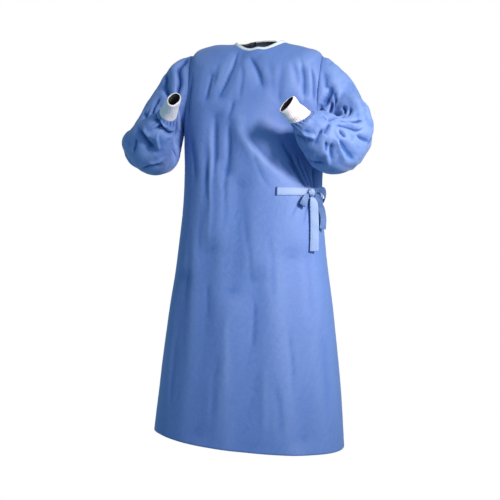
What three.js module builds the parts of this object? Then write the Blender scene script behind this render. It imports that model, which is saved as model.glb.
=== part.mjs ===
// Surgical gown with knitted cuffs and a belt tied at the wearer's left side.
// It keeps the hollow shape in which it is worn: arms bent, forearms raised, hem free.
// Millimetres. X runs to the wearer's left, Y to the wearer's back, Z up.
// The origin lies between the shoulders, level with the ends of the shoulder seams at the neck.
import * as THREE from "three";

// Cloth and sewing
const CLOTH = 1.5;
const KNIT = 2.2;
const BINDING = 2.0;
const TAPE = 1.2;
const SEAM_GAP = 0.3;
const EDGE_SETBACK = 0.18;
const WRAP_LIFT = 4;

// Places along the body, counted from the neck edge (0) over the armholes to the hem
const NECK_EDGE = 0;
const SHOULDER_END = 1;
const UNDERARM = 2;
const HEM = 7;
const BINDING_EDGE = -0.1;

// How far round the back each half reaches past the centre, in degrees
const WRAP_OVER = 28;
const WRAP_UNDER = -22;
const WRAP_LIFT_FROM = -52;
const WRAP_LIFT_TO = -27;

// How far each armhole cuts into the front and the back, in degrees
const ARMHOLE_CUT = { front: 34, back: 31 };

// Rows and columns of the cloth
const YOKE_PLACES = [0, 0.22, 0.48, 0.75];
const ARMHOLE_STEPS = 10;
const CHEST_STEPS = 5;
const SKIRT_STEPS = 12;
const FRONT_COLUMNS = 29;
const BACK_RIGHT_COLUMNS = 19;
const BACK_LEFT_COLUMNS = 15;
const SLEEVE_ROWS = 25;
const CUFF_ROWS = 4;
const CUFF_RIBS = 30;
const CUFF_RIB_HEIGHT = 0.6;

// Rings round the body. side, front and back are their levels there, half is the half width,
// fore and aft are the depths before and behind the shoulder line, shift moves a ring to the
// wearer's left, tilt lowers its left side, and box is 2 for an ellipse and more for a square.
const BODY = [
  { at: -0.1, side: 12, front: -26, back: 29, half: 72, fore: 76, aft: 64, shift: 0, tilt: 0, box: 2 },
  { at: 0, side: 5, front: -34, back: 21, half: 80, fore: 84, aft: 72, shift: 0, tilt: 1, box: 2 },
  { at: 0.5, side: -3, front: -74, back: -16, half: 140, fore: 103, aft: 94, shift: -4, tilt: 9, box: 2.2 },
  { at: 1, side: -30, front: -128, back: -70, half: 195, fore: 120, aft: 112, shift: -9, tilt: 9, box: 2.6 },
  { at: 1.5, side: -135, front: -212, back: -170, half: 213, fore: 134, aft: 124, shift: -11, tilt: 8, box: 3 },
  { at: 2, side: -262, front: -306, back: -285, half: 211, fore: 141, aft: 126, shift: -18, tilt: 4, box: 2.8 },
  { at: 3, side: -432, front: -436, back: -436, half: 207, fore: 143, aft: 122, shift: -24, tilt: 0, box: 2.5 },
  { at: 4, side: -610, front: -610, back: -610, half: 222, fore: 152, aft: 134, shift: -28, tilt: 2, box: 2.3 },
  { at: 5, side: -800, front: -800, back: -800, half: 249, fore: 168, aft: 152, shift: -31, tilt: 6, box: 2.2 },
  { at: 6, side: -985, front: -987, back: -985, half: 270, fore: 184, aft: 168, shift: -34, tilt: 12, box: 2.2 },
  { at: 7, side: -1172, front: -1175, back: -1172, half: 285, fore: 194, aft: 180, shift: -38, tilt: 20, box: 2.2 },
];

// Folds of the front: a line from one place to another, as X and Z, with its half width and its
// depth into the body. A ridge has a negative depth.
const FRONT_FOLDS = [
  { fromX: -44, fromZ: -48, toX: -94, toZ: -162, wide: 20, deep: 6 },
  { fromX: -2, fromZ: -66, toX: 27, toZ: -130, wide: 20, deep: 5 },
  { fromX: -124, fromZ: -105, toX: -136, toZ: -165, wide: 18, deep: 5 },
  { fromX: 140, fromZ: -100, toX: 154, toZ: -155, wide: 20, deep: 5 },
  { fromX: -104, fromZ: -235, toX: -112, toZ: -340, wide: 24, deep: 7 },
  { fromX: -60, fromZ: -255, toX: -72, toZ: -380, wide: 24, deep: 7 },
  { fromX: -40, fromZ: -250, toX: 24, toZ: -355, wide: 30, deep: -7 },
  { fromX: 112, fromZ: -250, toX: 150, toZ: -340, wide: 66, deep: 40 },
  { fromX: -30, fromZ: -430, toX: -52, toZ: -720, wide: 34, deep: 7 },
  { fromX: -128, fromZ: -620, toX: -150, toZ: -1120, wide: 44, deep: 9 },
  { fromX: 14, fromZ: -700, toX: 20, toZ: -1150, wide: 46, deep: 8 },
  { fromX: 122, fromZ: -640, toX: 150, toZ: -1130, wide: 44, deep: 9 },
  { fromX: -215, fromZ: -700, toX: -236, toZ: -1150, wide: 34, deep: 8 },
];

// Folds of the back, given in the same way
const BACK_FOLDS = [
  { fromX: -70, fromZ: -50, toX: -120, toZ: -190, wide: 24, deep: 6 },
  { fromX: 80, fromZ: -60, toX: 128, toZ: -200, wide: 24, deep: 6 },
  { fromX: -110, fromZ: -300, toX: -100, toZ: -560, wide: 36, deep: 9 },
  { fromX: 84, fromZ: -330, toX: 92, toZ: -600, wide: 34, deep: 8 },
  { fromX: -20, fromZ: -420, toX: -30, toZ: -760, wide: 36, deep: 7 },
  { fromX: -150, fromZ: -700, toX: -176, toZ: -1150, wide: 46, deep: 11 },
  { fromX: -30, fromZ: -800, toX: -36, toZ: -1150, wide: 46, deep: 9 },
  { fromX: 120, fromZ: -720, toX: 152, toZ: -1150, wide: 46, deep: 11 },
];

// Sections of a sleeve from the armhole over the bent elbow to the cuff's mouth. inner is the
// edge towards the body and outer the edge away from it, as X, Y and Z. fore and aft are the
// half widths before and behind the line between them. The last two sections are the cuff's ends.
const SLEEVE_LEFT = [
  { innerX: 206, innerY: -4, innerZ: -262, outerX: 194, outerY: -4, outerZ: -40, fore: 76, aft: 76 },
  { innerX: 224, innerY: -18, innerZ: -262, outerX: 276, outerY: 2, outerZ: -128, fore: 76, aft: 76 },
  { innerX: 233, innerY: -46, innerZ: -255, outerX: 312, outerY: -7, outerZ: -198, fore: 78, aft: 78 },
  { innerX: 230, innerY: -74, innerZ: -247, outerX: 322, outerY: -23, outerZ: -262, fore: 80, aft: 80 },
  { innerX: 223, innerY: -98, innerZ: -240, outerX: 313, outerY: -46, outerZ: -332, fore: 81, aft: 82 },
  { innerX: 217, innerY: -118, innerZ: -235, outerX: 276, outerY: -78, outerZ: -384, fore: 80, aft: 81 },
  { innerX: 212, innerY: -138, innerZ: -231, outerX: 230, outerY: -116, outerZ: -399, fore: 77, aft: 77 },
  { innerX: 207, innerY: -155, innerZ: -229, outerX: 187, outerY: -150, outerZ: -382, fore: 68, aft: 66 },
  { innerX: 198, innerY: -169, innerZ: -229, outerX: 154, outerY: -181, outerZ: -334, fore: 57, aft: 54 },
  { innerX: 187, innerY: -183, innerZ: -230, outerX: 136, outerY: -200, outerZ: -292, fore: 43, aft: 41 },
  { innerX: 176, innerY: -196, innerZ: -234, outerX: 123, outerY: -207, outerZ: -264, fore: 25, aft: 25 },
  { innerX: 136, innerY: -232, innerZ: -195, outerX: 101, outerY: -239, outerZ: -239, fore: 20, aft: 20 },
];
const SLEEVE_RIGHT = [
  { innerX: -222, innerY: -8, innerZ: -262, outerX: -205, outerY: -6, outerZ: -26, fore: 74, aft: 74 },
  { innerX: -234, innerY: -18, innerZ: -256, outerX: -279, outerY: -28, outerZ: -71, fore: 70, aft: 78 },
  { innerX: -242, innerY: -34, innerZ: -276, outerX: -332, outerY: -44, outerZ: -157, fore: 58, aft: 76 },
  { innerX: -247, innerY: -52, innerZ: -320, outerX: -362, outerY: -66, outerZ: -229, fore: 46, aft: 72 },
  { innerX: -250, innerY: -84, innerZ: -354, outerX: -384, outerY: -102, outerZ: -268, fore: 40, aft: 68 },
  { innerX: -247, innerY: -122, innerZ: -362, outerX: -374, outerY: -146, outerZ: -272, fore: 42, aft: 64 },
  { innerX: -236, innerY: -156, innerZ: -346, outerX: -345, outerY: -180, outerZ: -262, fore: 44, aft: 60 },
  { innerX: -223, innerY: -185, innerZ: -314, outerX: -309, outerY: -206, outerZ: -245, fore: 44, aft: 54 },
  { innerX: -208, innerY: -209, innerZ: -280, outerX: -271, outerY: -225, outerZ: -230, fore: 38, aft: 42 },
  { innerX: -198, innerY: -230, innerZ: -248, outerX: -235, outerY: -240, outerZ: -218, fore: 28, aft: 29 },
  { innerX: -173, innerY: -276, innerZ: -211, outerX: -201, outerY: -284, outerZ: -189, fore: 28, aft: 28 },
];

// Folds of a sleeve: a line in the sleeve's own places, rows along it and degrees round it from
// the top of the armhole over the front, with its half width and its depth.
const SLEEVE_LEFT_FOLDS = [
  { fromRow: 0.6, fromTurn: 40, toRow: 2.2, toTurn: 66, wide: 16, deep: 8 },
  { fromRow: 0.5, fromTurn: 84, toRow: 2.4, toTurn: 100, wide: 16, deep: 9 },
  { fromRow: 3.1, fromTurn: 60, toRow: 3.3, toTurn: 150, wide: 13, deep: 10 },
  { fromRow: 4.4, fromTurn: 70, toRow: 4.6, toTurn: 150, wide: 15, deep: 9 },
  { fromRow: 5.6, fromTurn: 66, toRow: 5.7, toTurn: 150, wide: 15, deep: 9 },
  { fromRow: 6.9, fromTurn: 60, toRow: 6.8, toTurn: 150, wide: 14, deep: 9 },
  { fromRow: 8.0, fromTurn: 40, toRow: 7.8, toTurn: 140, wide: 13, deep: 7 },
  { fromRow: 4.0, fromTurn: -150, toRow: 4.2, toTurn: -60, wide: 16, deep: 9 },
  { fromRow: 6.2, fromTurn: -150, toRow: 6.2, toTurn: -50, wide: 16, deep: 9 },
];
const SLEEVE_RIGHT_FOLDS = [
  { fromRow: 0.8, fromTurn: 20, toRow: 2.4, toTurn: 46, wide: 18, deep: 8 },
  { fromRow: 2.9, fromTurn: 30, toRow: 4.2, toTurn: 10, wide: 18, deep: 10 },
  { fromRow: 5.0, fromTurn: 30, toRow: 5.4, toTurn: -70, wide: 18, deep: 12 },
  { fromRow: 6.8, fromTurn: 80, toRow: 6.8, toTurn: 0, wide: 14, deep: 7 },
  { fromRow: 3.6, fromTurn: 150, toRow: 4.6, toTurn: 190, wide: 16, deep: 8 },
  { fromRow: 3.2, fromTurn: -140, toRow: 4.4, toTurn: -90, wide: 18, deep: 9 },
];
const SLEEVE_BLEND_ROWS = 1.6;
const SLEEVE_ROW_LENGTH = 42;
const SLEEVE_RADIUS = 78;

// Belt: its middle lies on the front at this level. Places round the body are in degrees from
// the middle of the front or the back, and each lift is the distance from the cloth.
const BELT_LEVEL = -445;
const BELT_WIDTH = 22;
const BELT_LIFT = 2.2;
const BELT_START = 26;
const BELT_FRONT_END = 56.2;
const TACK = { from: 25.6, to: 27.0, height: 25, lift: 3.8 };
const KNOT = {
  angle: 56.5,
  level: -447,
  lift: 11.1,
  width: 28,
  height: 24,
  depth: 17,
  columns: 14,
  rows: 10,
};
const BELT_BACK_START = 56.8;
const BELT_BACK_END = 30;
const BELT_FRONT_STEPS = 7;
const BELT_BACK_STEPS = 15;

// Tapes of the bow, as places of their middle beside the knot: angle and level on the front,
// lift from it, width, and how the width is turned from level and leans out from the cloth.
const LONG_END = [
  { angle: 56.3, level: -459.5, lift: 11, width: 10, turn: 4, lean: 8 },
  { angle: 57.4, level: -478, lift: 14.5, width: 22, turn: 4, lean: 30 },
  { angle: 57.8, level: -520, lift: 14.5, width: 24, turn: 2, lean: 34 },
  { angle: 57.6, level: -566, lift: 13, width: 24, turn: -2, lean: 34 },
  { angle: 57, level: -616, lift: 12, width: 24, turn: 2, lean: 34 },
];
const SHORT_END = [
  { angle: 60, level: -455.8, lift: 10.6, width: 9, turn: 50, lean: 6 },
  { angle: 64, level: -474, lift: 13, width: 18, turn: 34, lean: 14 },
  { angle: 70.5, level: -496, lift: 12, width: 22, turn: 18, lean: 26 },
  { angle: 73.5, level: -522, lift: 12, width: 22, turn: -4, lean: 28 },
  { angle: 71, level: -552, lift: 11, width: 22, turn: -12, lean: 24 },
];
const LOOP_FRONT = [
  { angle: 52.1, level: -452.4, lift: 11.4, width: 9, turn: -40, lean: 0 },
  { angle: 49.6, level: -460, lift: 17, width: 17, turn: -36, lean: 0 },
  { angle: 47.2, level: -474, lift: 18, width: 19, turn: -28, lean: 0 },
  { angle: 46.4, level: -486, lift: 13, width: 19, turn: -24, lean: 0 },
  { angle: 47.6, level: -477, lift: 8, width: 18, turn: -28, lean: 0 },
  { angle: 50, level: -465, lift: 7, width: 15, turn: -36, lean: 0 },
  { angle: 52.4, level: -458.5, lift: 8, width: 8, turn: -45, lean: 0 },
];
const LOOP_BACK = [
  { angle: 61.0, level: -444.4, lift: 11, width: 9, turn: 100, lean: 8 },
  { angle: 66, level: -438, lift: 17, width: 16, turn: 100, lean: 10 },
  { angle: 72, level: -441, lift: 21, width: 18, turn: 84, lean: 8 },
  { angle: 75.5, level: -456, lift: 20, width: 18, turn: 60, lean: 6 },
  { angle: 75.5, level: -470, lift: 14, width: 18, turn: 50, lean: 6 },
  { angle: 71.5, level: -468, lift: 10, width: 17, turn: 56, lean: 4 },
  { angle: 66.5, level: -459, lift: 8, width: 14, turn: 66, lean: 2 },
  { angle: 61.5, level: -451, lift: 8.5, width: 8, turn: 70, lean: 0 },
];
const TAPE_STEPS = { longEnd: 12, shortEnd: 12, loop: 18 };

const BLUE = new THREE.MeshStandardMaterial({ color: 0x5577c2, roughness: 0.75, metalness: 0 });
const WHITE = new THREE.MeshStandardMaterial({ color: 0xf1f1f4, roughness: 0.9, metalness: 0 });
const PALE_BLUE = new THREE.MeshStandardMaterial({ color: 0x8fa6dc, roughness: 0.75, metalness: 0 });
const THREAD = new THREE.MeshStandardMaterial({ color: 0x24458f, roughness: 0.8, metalness: 0 });

const FRONT = -1;
const BACK = 1;
const RIGHT = -1;
const LEFT = 1;
const STEP = 0.01;
const SIDE = 90;
const FOLD_FADE = 0.4;
const LEVEL_TRIES = 24;
const SAME_PLACE_PER_MM = 50;

// A sheet's facing is 1 where the way round it crossed with the way down it points outwards,
// and -1 where that points inwards.
const ROUND_IS_OUTWARD = 1;
const ROUND_IS_INWARD = -1;

// Numbers and tables

function mix(a, b, share) {
  return a + (b - a) * share;
}

function smooth(share) {
  const s = Math.min(1, Math.max(0, share));
  return s * s * (3 - 2 * s);
}

function degrees(angle) {
  return (angle * Math.PI) / 180;
}

// Slope of a column at a row of the table, from the rows on both sides.
function slopeAt(table, places, row, name) {
  const before = Math.max(0, row - 1);
  const after = Math.min(table.length - 1, row + 1);
  return (table[after][name] - table[before][name]) / (places[after] - places[before]);
}

// All columns of a table at a place between two of its rows, along a smooth curve.
function readTable(table, at, places = table.map((row) => row.at)) {
  let row = 0;
  while (row < table.length - 2 && at > places[row + 1]) row += 1;
  const span = places[row + 1] - places[row];
  const s = (at - places[row]) / span;
  const values = {};
  for (const name of Object.keys(table[row])) {
    const startSlope = slopeAt(table, places, row, name) * span;
    const endSlope = slopeAt(table, places, row + 1, name) * span;
    values[name] =
      (2 * s ** 3 - 3 * s ** 2 + 1) * table[row][name] +
      (s ** 3 - 2 * s ** 2 + s) * startSlope +
      (3 * s ** 2 - 2 * s ** 3) * table[row + 1][name] +
      (s ** 3 - s ** 2) * endSlope;
  }
  return values;
}

// Depth of all folds of a table at a place, each dying away from its line.
function foldDepth(lines, u, v) {
  let depth = 0;
  for (const { fromU, fromV, toU, toV, wide, deep } of lines) {
    const lengthSquared = (toU - fromU) ** 2 + (toV - fromV) ** 2;
    const along = ((u - fromU) * (toU - fromU) + (v - fromV) * (toV - fromV)) / lengthSquared;
    const share = Math.min(1, Math.max(0, along));
    const away = (u - mix(fromU, toU, share)) ** 2 + (v - mix(fromV, toV, share)) ** 2;
    depth += deep * Math.exp(-away / wide ** 2);
  }
  return depth;
}

const bodyLines = (folds) =>
  folds.map(({ fromX, fromZ, toX, toZ, wide, deep }) => ({
    fromU: fromX,
    fromV: fromZ,
    toU: toX,
    toV: toZ,
    wide,
    deep,
  }));
const BODY_LINES = { [FRONT]: bodyLines(FRONT_FOLDS), [BACK]: bodyLines(BACK_FOLDS) };

// Body of the gown

// A place on the plain body: face is FRONT or BACK, angle is in degrees from that face's middle
// towards the wearer's left, and at is the place from the neck to the hem.
function plainBody(face, angle, at) {
  const ring = readTable(BODY, at);
  const across = Math.sin(degrees(angle));
  const out = Math.cos(degrees(angle));
  const square = (Math.abs(across) ** ring.box + Math.abs(out) ** ring.box) ** (-1 / ring.box);
  const depth = face === FRONT ? ring.fore : ring.aft;
  const level = face === FRONT ? ring.front : ring.back;
  return new THREE.Vector3(
    ring.shift + ring.half * across * square,
    face * depth * out * square,
    mix(ring.side, level, out * out) - ring.tilt * across,
  );
}

// A place on the body with its folds, moved out from the cloth by lift.
function bodyPoint(face, angle, at, lift = 0) {
  const place = plainBody(face, angle, at);
  const round = plainBody(face, angle + STEP, at).sub(plainBody(face, angle - STEP, at));
  const down = plainBody(face, angle, at + STEP).sub(plainBody(face, angle, at - STEP));
  const outward = round.cross(down).normalize().multiplyScalar(face);
  const fade = smooth(Math.cos(degrees(angle)) / FOLD_FADE);
  const depth = foldDepth(BODY_LINES[face], place.x, place.z) * fade;
  return place.addScaledVector(outward, lift - depth);
}

// The angle of a panel's side edge: the side seam, cut back along the armhole.
function sideAngle(face, at) {
  if (at <= SHOULDER_END || at >= UNDERARM) return SIDE;
  const share = (at - SHOULDER_END) / (UNDERARM - SHOULDER_END);
  const cut = face === FRONT ? ARMHOLE_CUT.front : ARMHOLE_CUT.back;
  return SIDE - cut * Math.sqrt(4 * share * (1 - share));
}

// Rows of the body. Each has its place at the sides, where the rows by the armhole follow its
// round edge, and its place in the middle, where they are evenly spaced.
const armholePlace = (step) =>
  mix(SHOULDER_END, UNDERARM, (1 - Math.cos((Math.PI * step) / ARMHOLE_STEPS)) / 2);
const armholeMiddle = (step) => mix(SHOULDER_END, UNDERARM, step / ARMHOLE_STEPS);
const range = (count, fn) => Array.from({ length: count }, (_, i) => fn(i));
const level = (at) => ({ side: at, middle: at });
const BODY_ROWS = [
  ...YOKE_PLACES.map(level),
  ...range(ARMHOLE_STEPS + 1, (i) => ({ side: armholePlace(i), middle: armholeMiddle(i) })),
  ...range(CHEST_STEPS, (i) => level(mix(UNDERARM, UNDERARM + 1, (i + 1) / CHEST_STEPS))),
  ...range(SKIRT_STEPS, (i) => level(mix(UNDERARM + 1, HEM, (i + 1) / SKIRT_STEPS))),
];

// The place on a face in a row, a share of the way (-1 to 1) from its middle to its side edges.
function rowPoint(face, share, row) {
  const at = mix(row.middle, row.side, share * share);
  const pinch = 1 - sideAngle(face, row.side) / SIDE;
  const angle = SIDE * share * (1 - pinch * Math.abs(share));
  return { angle, at };
}

// The outer half of the back rises off the inner half where it wraps over it.
function wrapLift(angle) {
  return WRAP_LIFT * smooth((angle - WRAP_LIFT_FROM) / (WRAP_LIFT_TO - WRAP_LIFT_FROM));
}

function frontPoint(column, row) {
  const { angle, at } = rowPoint(FRONT, mix(-1, 1, column / (FRONT_COLUMNS - 1)), row);
  return bodyPoint(FRONT, angle, at);
}

// The half of the back on one side, which reaches past the middle to its wrap's edge.
function backPoint(side, wrapAngle, columns, column, row) {
  const share = mix(side, wrapAngle / SIDE, column / (columns - 1));
  const place = rowPoint(BACK, share, row);
  const past = share * side < 0;
  return past ? { angle: SIDE * share, at: place.at } : place;
}

function backRightPoint(column, row) {
  const { angle, at } = backPoint(RIGHT, WRAP_OVER, BACK_RIGHT_COLUMNS, column, row);
  return bodyPoint(BACK, angle, at, wrapLift(angle));
}

function backLeftPoint(column, row) {
  const { angle, at } = backPoint(LEFT, WRAP_UNDER, BACK_LEFT_COLUMNS, BACK_LEFT_COLUMNS - 1 - column, row);
  return bodyPoint(BACK, angle, at);
}

const panel = (point, columns) => BODY_ROWS.map((row) => range(columns, (column) => point(column, row)));

// Neck binding: one strip from the inner edge of the back's left half round the front to the
// outer edge of its right half.
function neckBinding() {
  return [BINDING_EDGE, mix(BINDING_EDGE, NECK_EDGE, 0.5), NECK_EDGE].map(level).map((row) => [
    ...range(BACK_LEFT_COLUMNS, (i) => backLeftPoint(i, row)),
    ...range(FRONT_COLUMNS - 2, (i) => frontPoint(FRONT_COLUMNS - 2 - i, row)),
    ...range(BACK_RIGHT_COLUMNS, (i) => backRightPoint(i, row)),
  ]);
}

// Sleeves

// The armhole's edge, from its top down the front and up the back.
function armhole(side) {
  const place = (face, step) => {
    const at = armholePlace(step);
    return bodyPoint(face, side * sideAngle(face, at), at);
  };
  return [
    ...range(ARMHOLE_STEPS, (i) => place(FRONT, i)),
    ...range(ARMHOLE_STEPS, (i) => place(BACK, ARMHOLE_STEPS - i)),
  ];
}

const rowNumbers = (table) => table.map((_, i) => i);

// The frame of a sleeve's section: its middle, the way to its outer edge and the way forward.
function sleeveFrame(table, row, hand) {
  const numbers = rowNumbers(table);
  const read = (at) => {
    const s = readTable(table, at, numbers);
    const inner = new THREE.Vector3(s.innerX, s.innerY, s.innerZ);
    const outer = new THREE.Vector3(s.outerX, s.outerY, s.outerZ);
    return { ...s, outer, centre: inner.add(outer).multiplyScalar(0.5) };
  };
  const here = read(row);
  const ahead = read(Math.min(row + STEP, table.length - 1)).centre;
  const behind = read(Math.max(row - STEP, 0)).centre;
  const along = ahead.sub(behind).normalize();
  const out = here.outer.clone().sub(here.centre);
  const forward = along.cross(out).normalize().multiplyScalar(hand);
  return { ...here, out, forward };
}

// One ring of a sleeve, from the outer edge round by the front.
function sleeveRing(sleeve, row, count = 2 * ARMHOLE_STEPS) {
  const { table, hand, lines } = sleeve;
  const { centre, out, fore, aft, forward } = sleeveFrame(table, row, hand);
  return range(count, (i) => {
    const round = (360 * i) / count;
    const angle = degrees(round);
    const across = Math.sin(angle) > 0 ? fore : aft;
    const arm = out
      .clone()
      .multiplyScalar(Math.cos(angle))
      .addScaledVector(forward, across * Math.sin(angle));
    const radius = arm.length();
    let depth = 0;
    for (const shift of [-360, 0, 360]) {
      depth += foldDepth(lines, row * SLEEVE_ROW_LENGTH, degrees(round + shift) * SLEEVE_RADIUS);
    }
    return centre.clone().addScaledVector(arm, 1 - depth / radius);
  });
}

function sleeveRings(sleeve) {
  const { table, side } = sleeve;
  const edge = armhole(side);
  const first = sleeveRing(sleeve, 0);
  const last = table.length - 2;
  return range(SLEEVE_ROWS, (i) => {
    const row = (last * i) / (SLEEVE_ROWS - 1);
    const pull = 1 - smooth(row / SLEEVE_BLEND_ROWS);
    return sleeveRing(sleeve, row).map((place, k) =>
      place.addScaledVector(edge[k].clone().sub(first[k]), pull),
    );
  });
}

// A cuff's rings, drawn back from the sleeve's end by the seam's gap.
function cuffRings(sleeve) {
  const last = sleeve.table.length - 1;
  const start = sleeveFrame(sleeve.table, last - 1, sleeve.hand).centre;
  const end = sleeveFrame(sleeve.table, last, sleeve.hand).centre;
  const along = end.sub(start).normalize().multiplyScalar(SEAM_GAP);
  return range(CUFF_ROWS, (i) => {
    const ring = sleeveRing(sleeve, mix(last - 1, last, i / (CUFF_ROWS - 1)), 2 * CUFF_RIBS);
    return i === 0 ? ring.map((place) => place.add(along)) : ring;
  });
}

function sleeveOf(table, folds, side, hand) {
  const lines = folds.map(({ fromRow, fromTurn, toRow, toTurn, wide, deep }) => ({
    fromU: fromRow * SLEEVE_ROW_LENGTH,
    fromV: degrees(fromTurn) * SLEEVE_RADIUS,
    toU: toRow * SLEEVE_ROW_LENGTH,
    toV: degrees(toTurn) * SLEEVE_RADIUS,
    wide,
    deep,
  }));
  return { table, side, hand, lines };
}

// Belt

// The place on a face at an angle and a level, found between the underarm and the hem.
function placeAtLevel(face, angle, level) {
  let high = UNDERARM;
  let low = HEM;
  for (let i = 0; i < LEVEL_TRIES; i += 1) {
    const middle = (high + low) / 2;
    if (plainBody(face, angle, middle).z > level) high = middle;
    else low = middle;
  }
  return (high + low) / 2;
}

const onBody = (face, angle, level, lift) => bodyPoint(face, angle, placeAtLevel(face, angle, level), lift);

// A strip along the belt's level between two angles of the front, or on round the side to the
// back when an angle is past the side.
function beltStrip(fromAngle, toAngle, width, steps, lift = BELT_LIFT) {
  return range(steps + 1, (i) => {
    const angle = mix(fromAngle, toAngle, i / steps);
    const face = angle > SIDE ? BACK : FRONT;
    const own = angle > SIDE ? 2 * SIDE - angle : angle;
    return [BELT_LEVEL + width / 2, BELT_LEVEL - width / 2].map((z) => onBody(face, own, z, lift));
  });
}

// A tape of the bow through the places of its table.
function tape(stations, steps) {
  const places = rowNumbers(stations);
  return range(steps + 1, (i) => {
    const s = readTable(stations, ((stations.length - 1) * i) / steps, places);
    const middle = onBody(FRONT, s.angle, s.level, s.lift);
    const beside = onBody(FRONT, s.angle + 1, s.level, s.lift).sub(middle).normalize();
    const outward = onBody(FRONT, s.angle, s.level, s.lift + 1).sub(middle).normalize();
    const up = beside.clone().cross(outward);
    if (up.z < 0) up.negate();
    const turn = degrees(s.turn);
    const lean = degrees(s.lean);
    const across = beside
      .clone()
      .multiplyScalar(Math.cos(turn) * Math.cos(lean))
      .addScaledVector(up, Math.sin(turn) * Math.cos(lean))
      .addScaledVector(outward, Math.sin(lean));
    return [-s.width / 2, s.width / 2].map((w) => middle.clone().addScaledVector(across, w));
  });
}

// The knot: a small wrapped lump, wider than it is deep.
function knot() {
  const middle = onBody(FRONT, KNOT.angle, KNOT.level, KNOT.lift);
  const beside = onBody(FRONT, KNOT.angle + 1, KNOT.level, KNOT.lift).sub(middle).normalize();
  const up = new THREE.Vector3(0, 0, 1);
  const outward = up.clone().cross(beside).normalize();
  const geometry = new THREE.SphereGeometry(0.5, KNOT.columns, KNOT.rows);
  const frame = new THREE.Matrix4().makeBasis(
    beside.clone().multiplyScalar(KNOT.width),
    outward.clone().multiplyScalar(KNOT.depth),
    up.clone().multiplyScalar(KNOT.height),
  );
  geometry.applyMatrix4(new THREE.Matrix4().makeRotationX(Math.PI / 2));
  geometry.applyMatrix4(frame.setPosition(middle));
  return geometry;
}

// Walls

const keyOf = ({ x, y, z }) =>
  [x, y, z].map((v) => Math.round(v * SAME_PLACE_PER_MM)).join(" ");

// Outward directions of a sheet of places, from its neighbours in both directions.
function sheetNormals(sheet) {
  const { rows, closed } = sheet;
  const columns = rows[0].length;
  return rows.map((row, i) =>
    row.map((_, k) => {
      const before = closed ? (k + columns - 1) % columns : Math.max(0, k - 1);
      const after = closed ? (k + 1) % columns : Math.min(columns - 1, k + 1);
      const above = rows[Math.max(0, i - 1)][k];
      const below = rows[Math.min(rows.length - 1, i + 1)][k];
      const round = row[after].clone().sub(row[before]);
      return round.cross(below.clone().sub(above)).normalize().multiplyScalar(sheet.facing);
    }),
  );
}

// Sheets that meet at a seam share one direction along it, so that their walls stay apart.
function shareSeams(sheets) {
  const sums = new Map();
  const edges = [];
  for (const sheet of sheets) {
    sheet.normals = sheetNormals(sheet);
    sheet.rows.forEach((row, i) =>
      row.forEach((place, k) => {
        const rim = i === 0 || i === sheet.rows.length - 1;
        const side = !sheet.closed && (k === 0 || k === row.length - 1);
        if (!rim && !side) return;
        const key = keyOf(place);
        if (!sums.has(key)) sums.set(key, { sum: new THREE.Vector3(), sheets: new Set() });
        sums.get(key).sum.add(sheet.normals[i][k]);
        sums.get(key).sheets.add(sheet);
        edges.push({ sheet, i, k, key });
      }),
    );
  }
  for (const { sheet, i, k, key } of edges) {
    const shared = sums.get(key);
    if (shared.sheets.size < 2) continue;
    sheet.normals[i][k] = shared.sum.clone().normalize();
    sheet.seams.push({ i, k });
  }
}

// Draws the edge of a sheet back, so that pieces lie about 0.3 mm apart at a seam.
function openSeams(sheet) {
  const { rows, closed } = sheet;
  const moved = sheet.seams.map(({ i, k }) => {
    const inner = Math.min(Math.max(i, 1), rows.length - 2);
    const beside = closed ? k : Math.min(Math.max(k, 1), rows[0].length - 2);
    const towards = rows[inner][beside].clone().sub(rows[i][k]).normalize();
    return { i, k, place: rows[i][k].clone().addScaledVector(towards, EDGE_SETBACK) };
  });
  for (const { i, k, place } of moved) rows[i][k] = place;
}

// A closed wall behind a sheet of places, as one geometry.
function wall(sheet) {
  const { rows, normals, thickness, closed } = sheet;
  const columns = rows[0].length;
  const positions = [];
  for (const deep of [0, thickness]) {
    rows.forEach((row, i) =>
      row.forEach((place, k) => {
        const raised = deep === 0 && k % 2 === 0 ? sheet.ribHeight : 0;
        const point = place.clone().addScaledVector(normals[i][k], raised - deep);
        positions.push(point.x, point.y, point.z);
      }),
    );
  }
  const layer = rows.length * columns;
  const outer = (i, k) => i * columns + (k % columns);
  const inner = (i, k) => layer + outer(i, k);
  const faces = [];
  const quad = (a, b, c, d) => faces.push(a, b, c, a, c, d);
  const lastRow = rows.length - 1;
  const spans = closed ? columns : columns - 1;
  for (let k = 0; k < spans; k += 1) {
    for (let i = 0; i < lastRow; i += 1) {
      quad(outer(i, k), outer(i, k + 1), outer(i + 1, k + 1), outer(i + 1, k));
      quad(inner(i, k), inner(i + 1, k), inner(i + 1, k + 1), inner(i, k + 1));
    }
    quad(outer(0, k), inner(0, k), inner(0, k + 1), outer(0, k + 1));
    quad(outer(lastRow, k), outer(lastRow, k + 1), inner(lastRow, k + 1), inner(lastRow, k));
  }
  if (!closed) {
    for (let i = 0; i < lastRow; i += 1) {
      quad(outer(i, 0), outer(i + 1, 0), inner(i + 1, 0), inner(i, 0));
      const k = columns - 1;
      quad(outer(i, k), inner(i, k), inner(i + 1, k), outer(i + 1, k));
    }
  }
  if (sheet.facing < 0) faces.reverse();
  const geometry = new THREE.BufferGeometry();
  geometry.setAttribute("position", new THREE.Float32BufferAttribute(positions, 3));
  geometry.setIndex(faces);
  geometry.computeVertexNormals();
  return geometry;
}

// The garment

const group = new THREE.Group();

function add(name, geometry, material) {
  const mesh = new THREE.Mesh(geometry, material);
  mesh.name = name;
  group.add(mesh);
}

const sheet = (name, rows, thickness, material, facing, closed = false) => ({
  name,
  rows,
  thickness,
  material,
  facing,
  closed,
  ribHeight: 0,
  seams: [],
});

// Every other column of a ribbed sheet stands out on its outer side.
const ribbed = (piece) => ({ ...piece, ribHeight: CUFF_RIB_HEIGHT });

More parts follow.
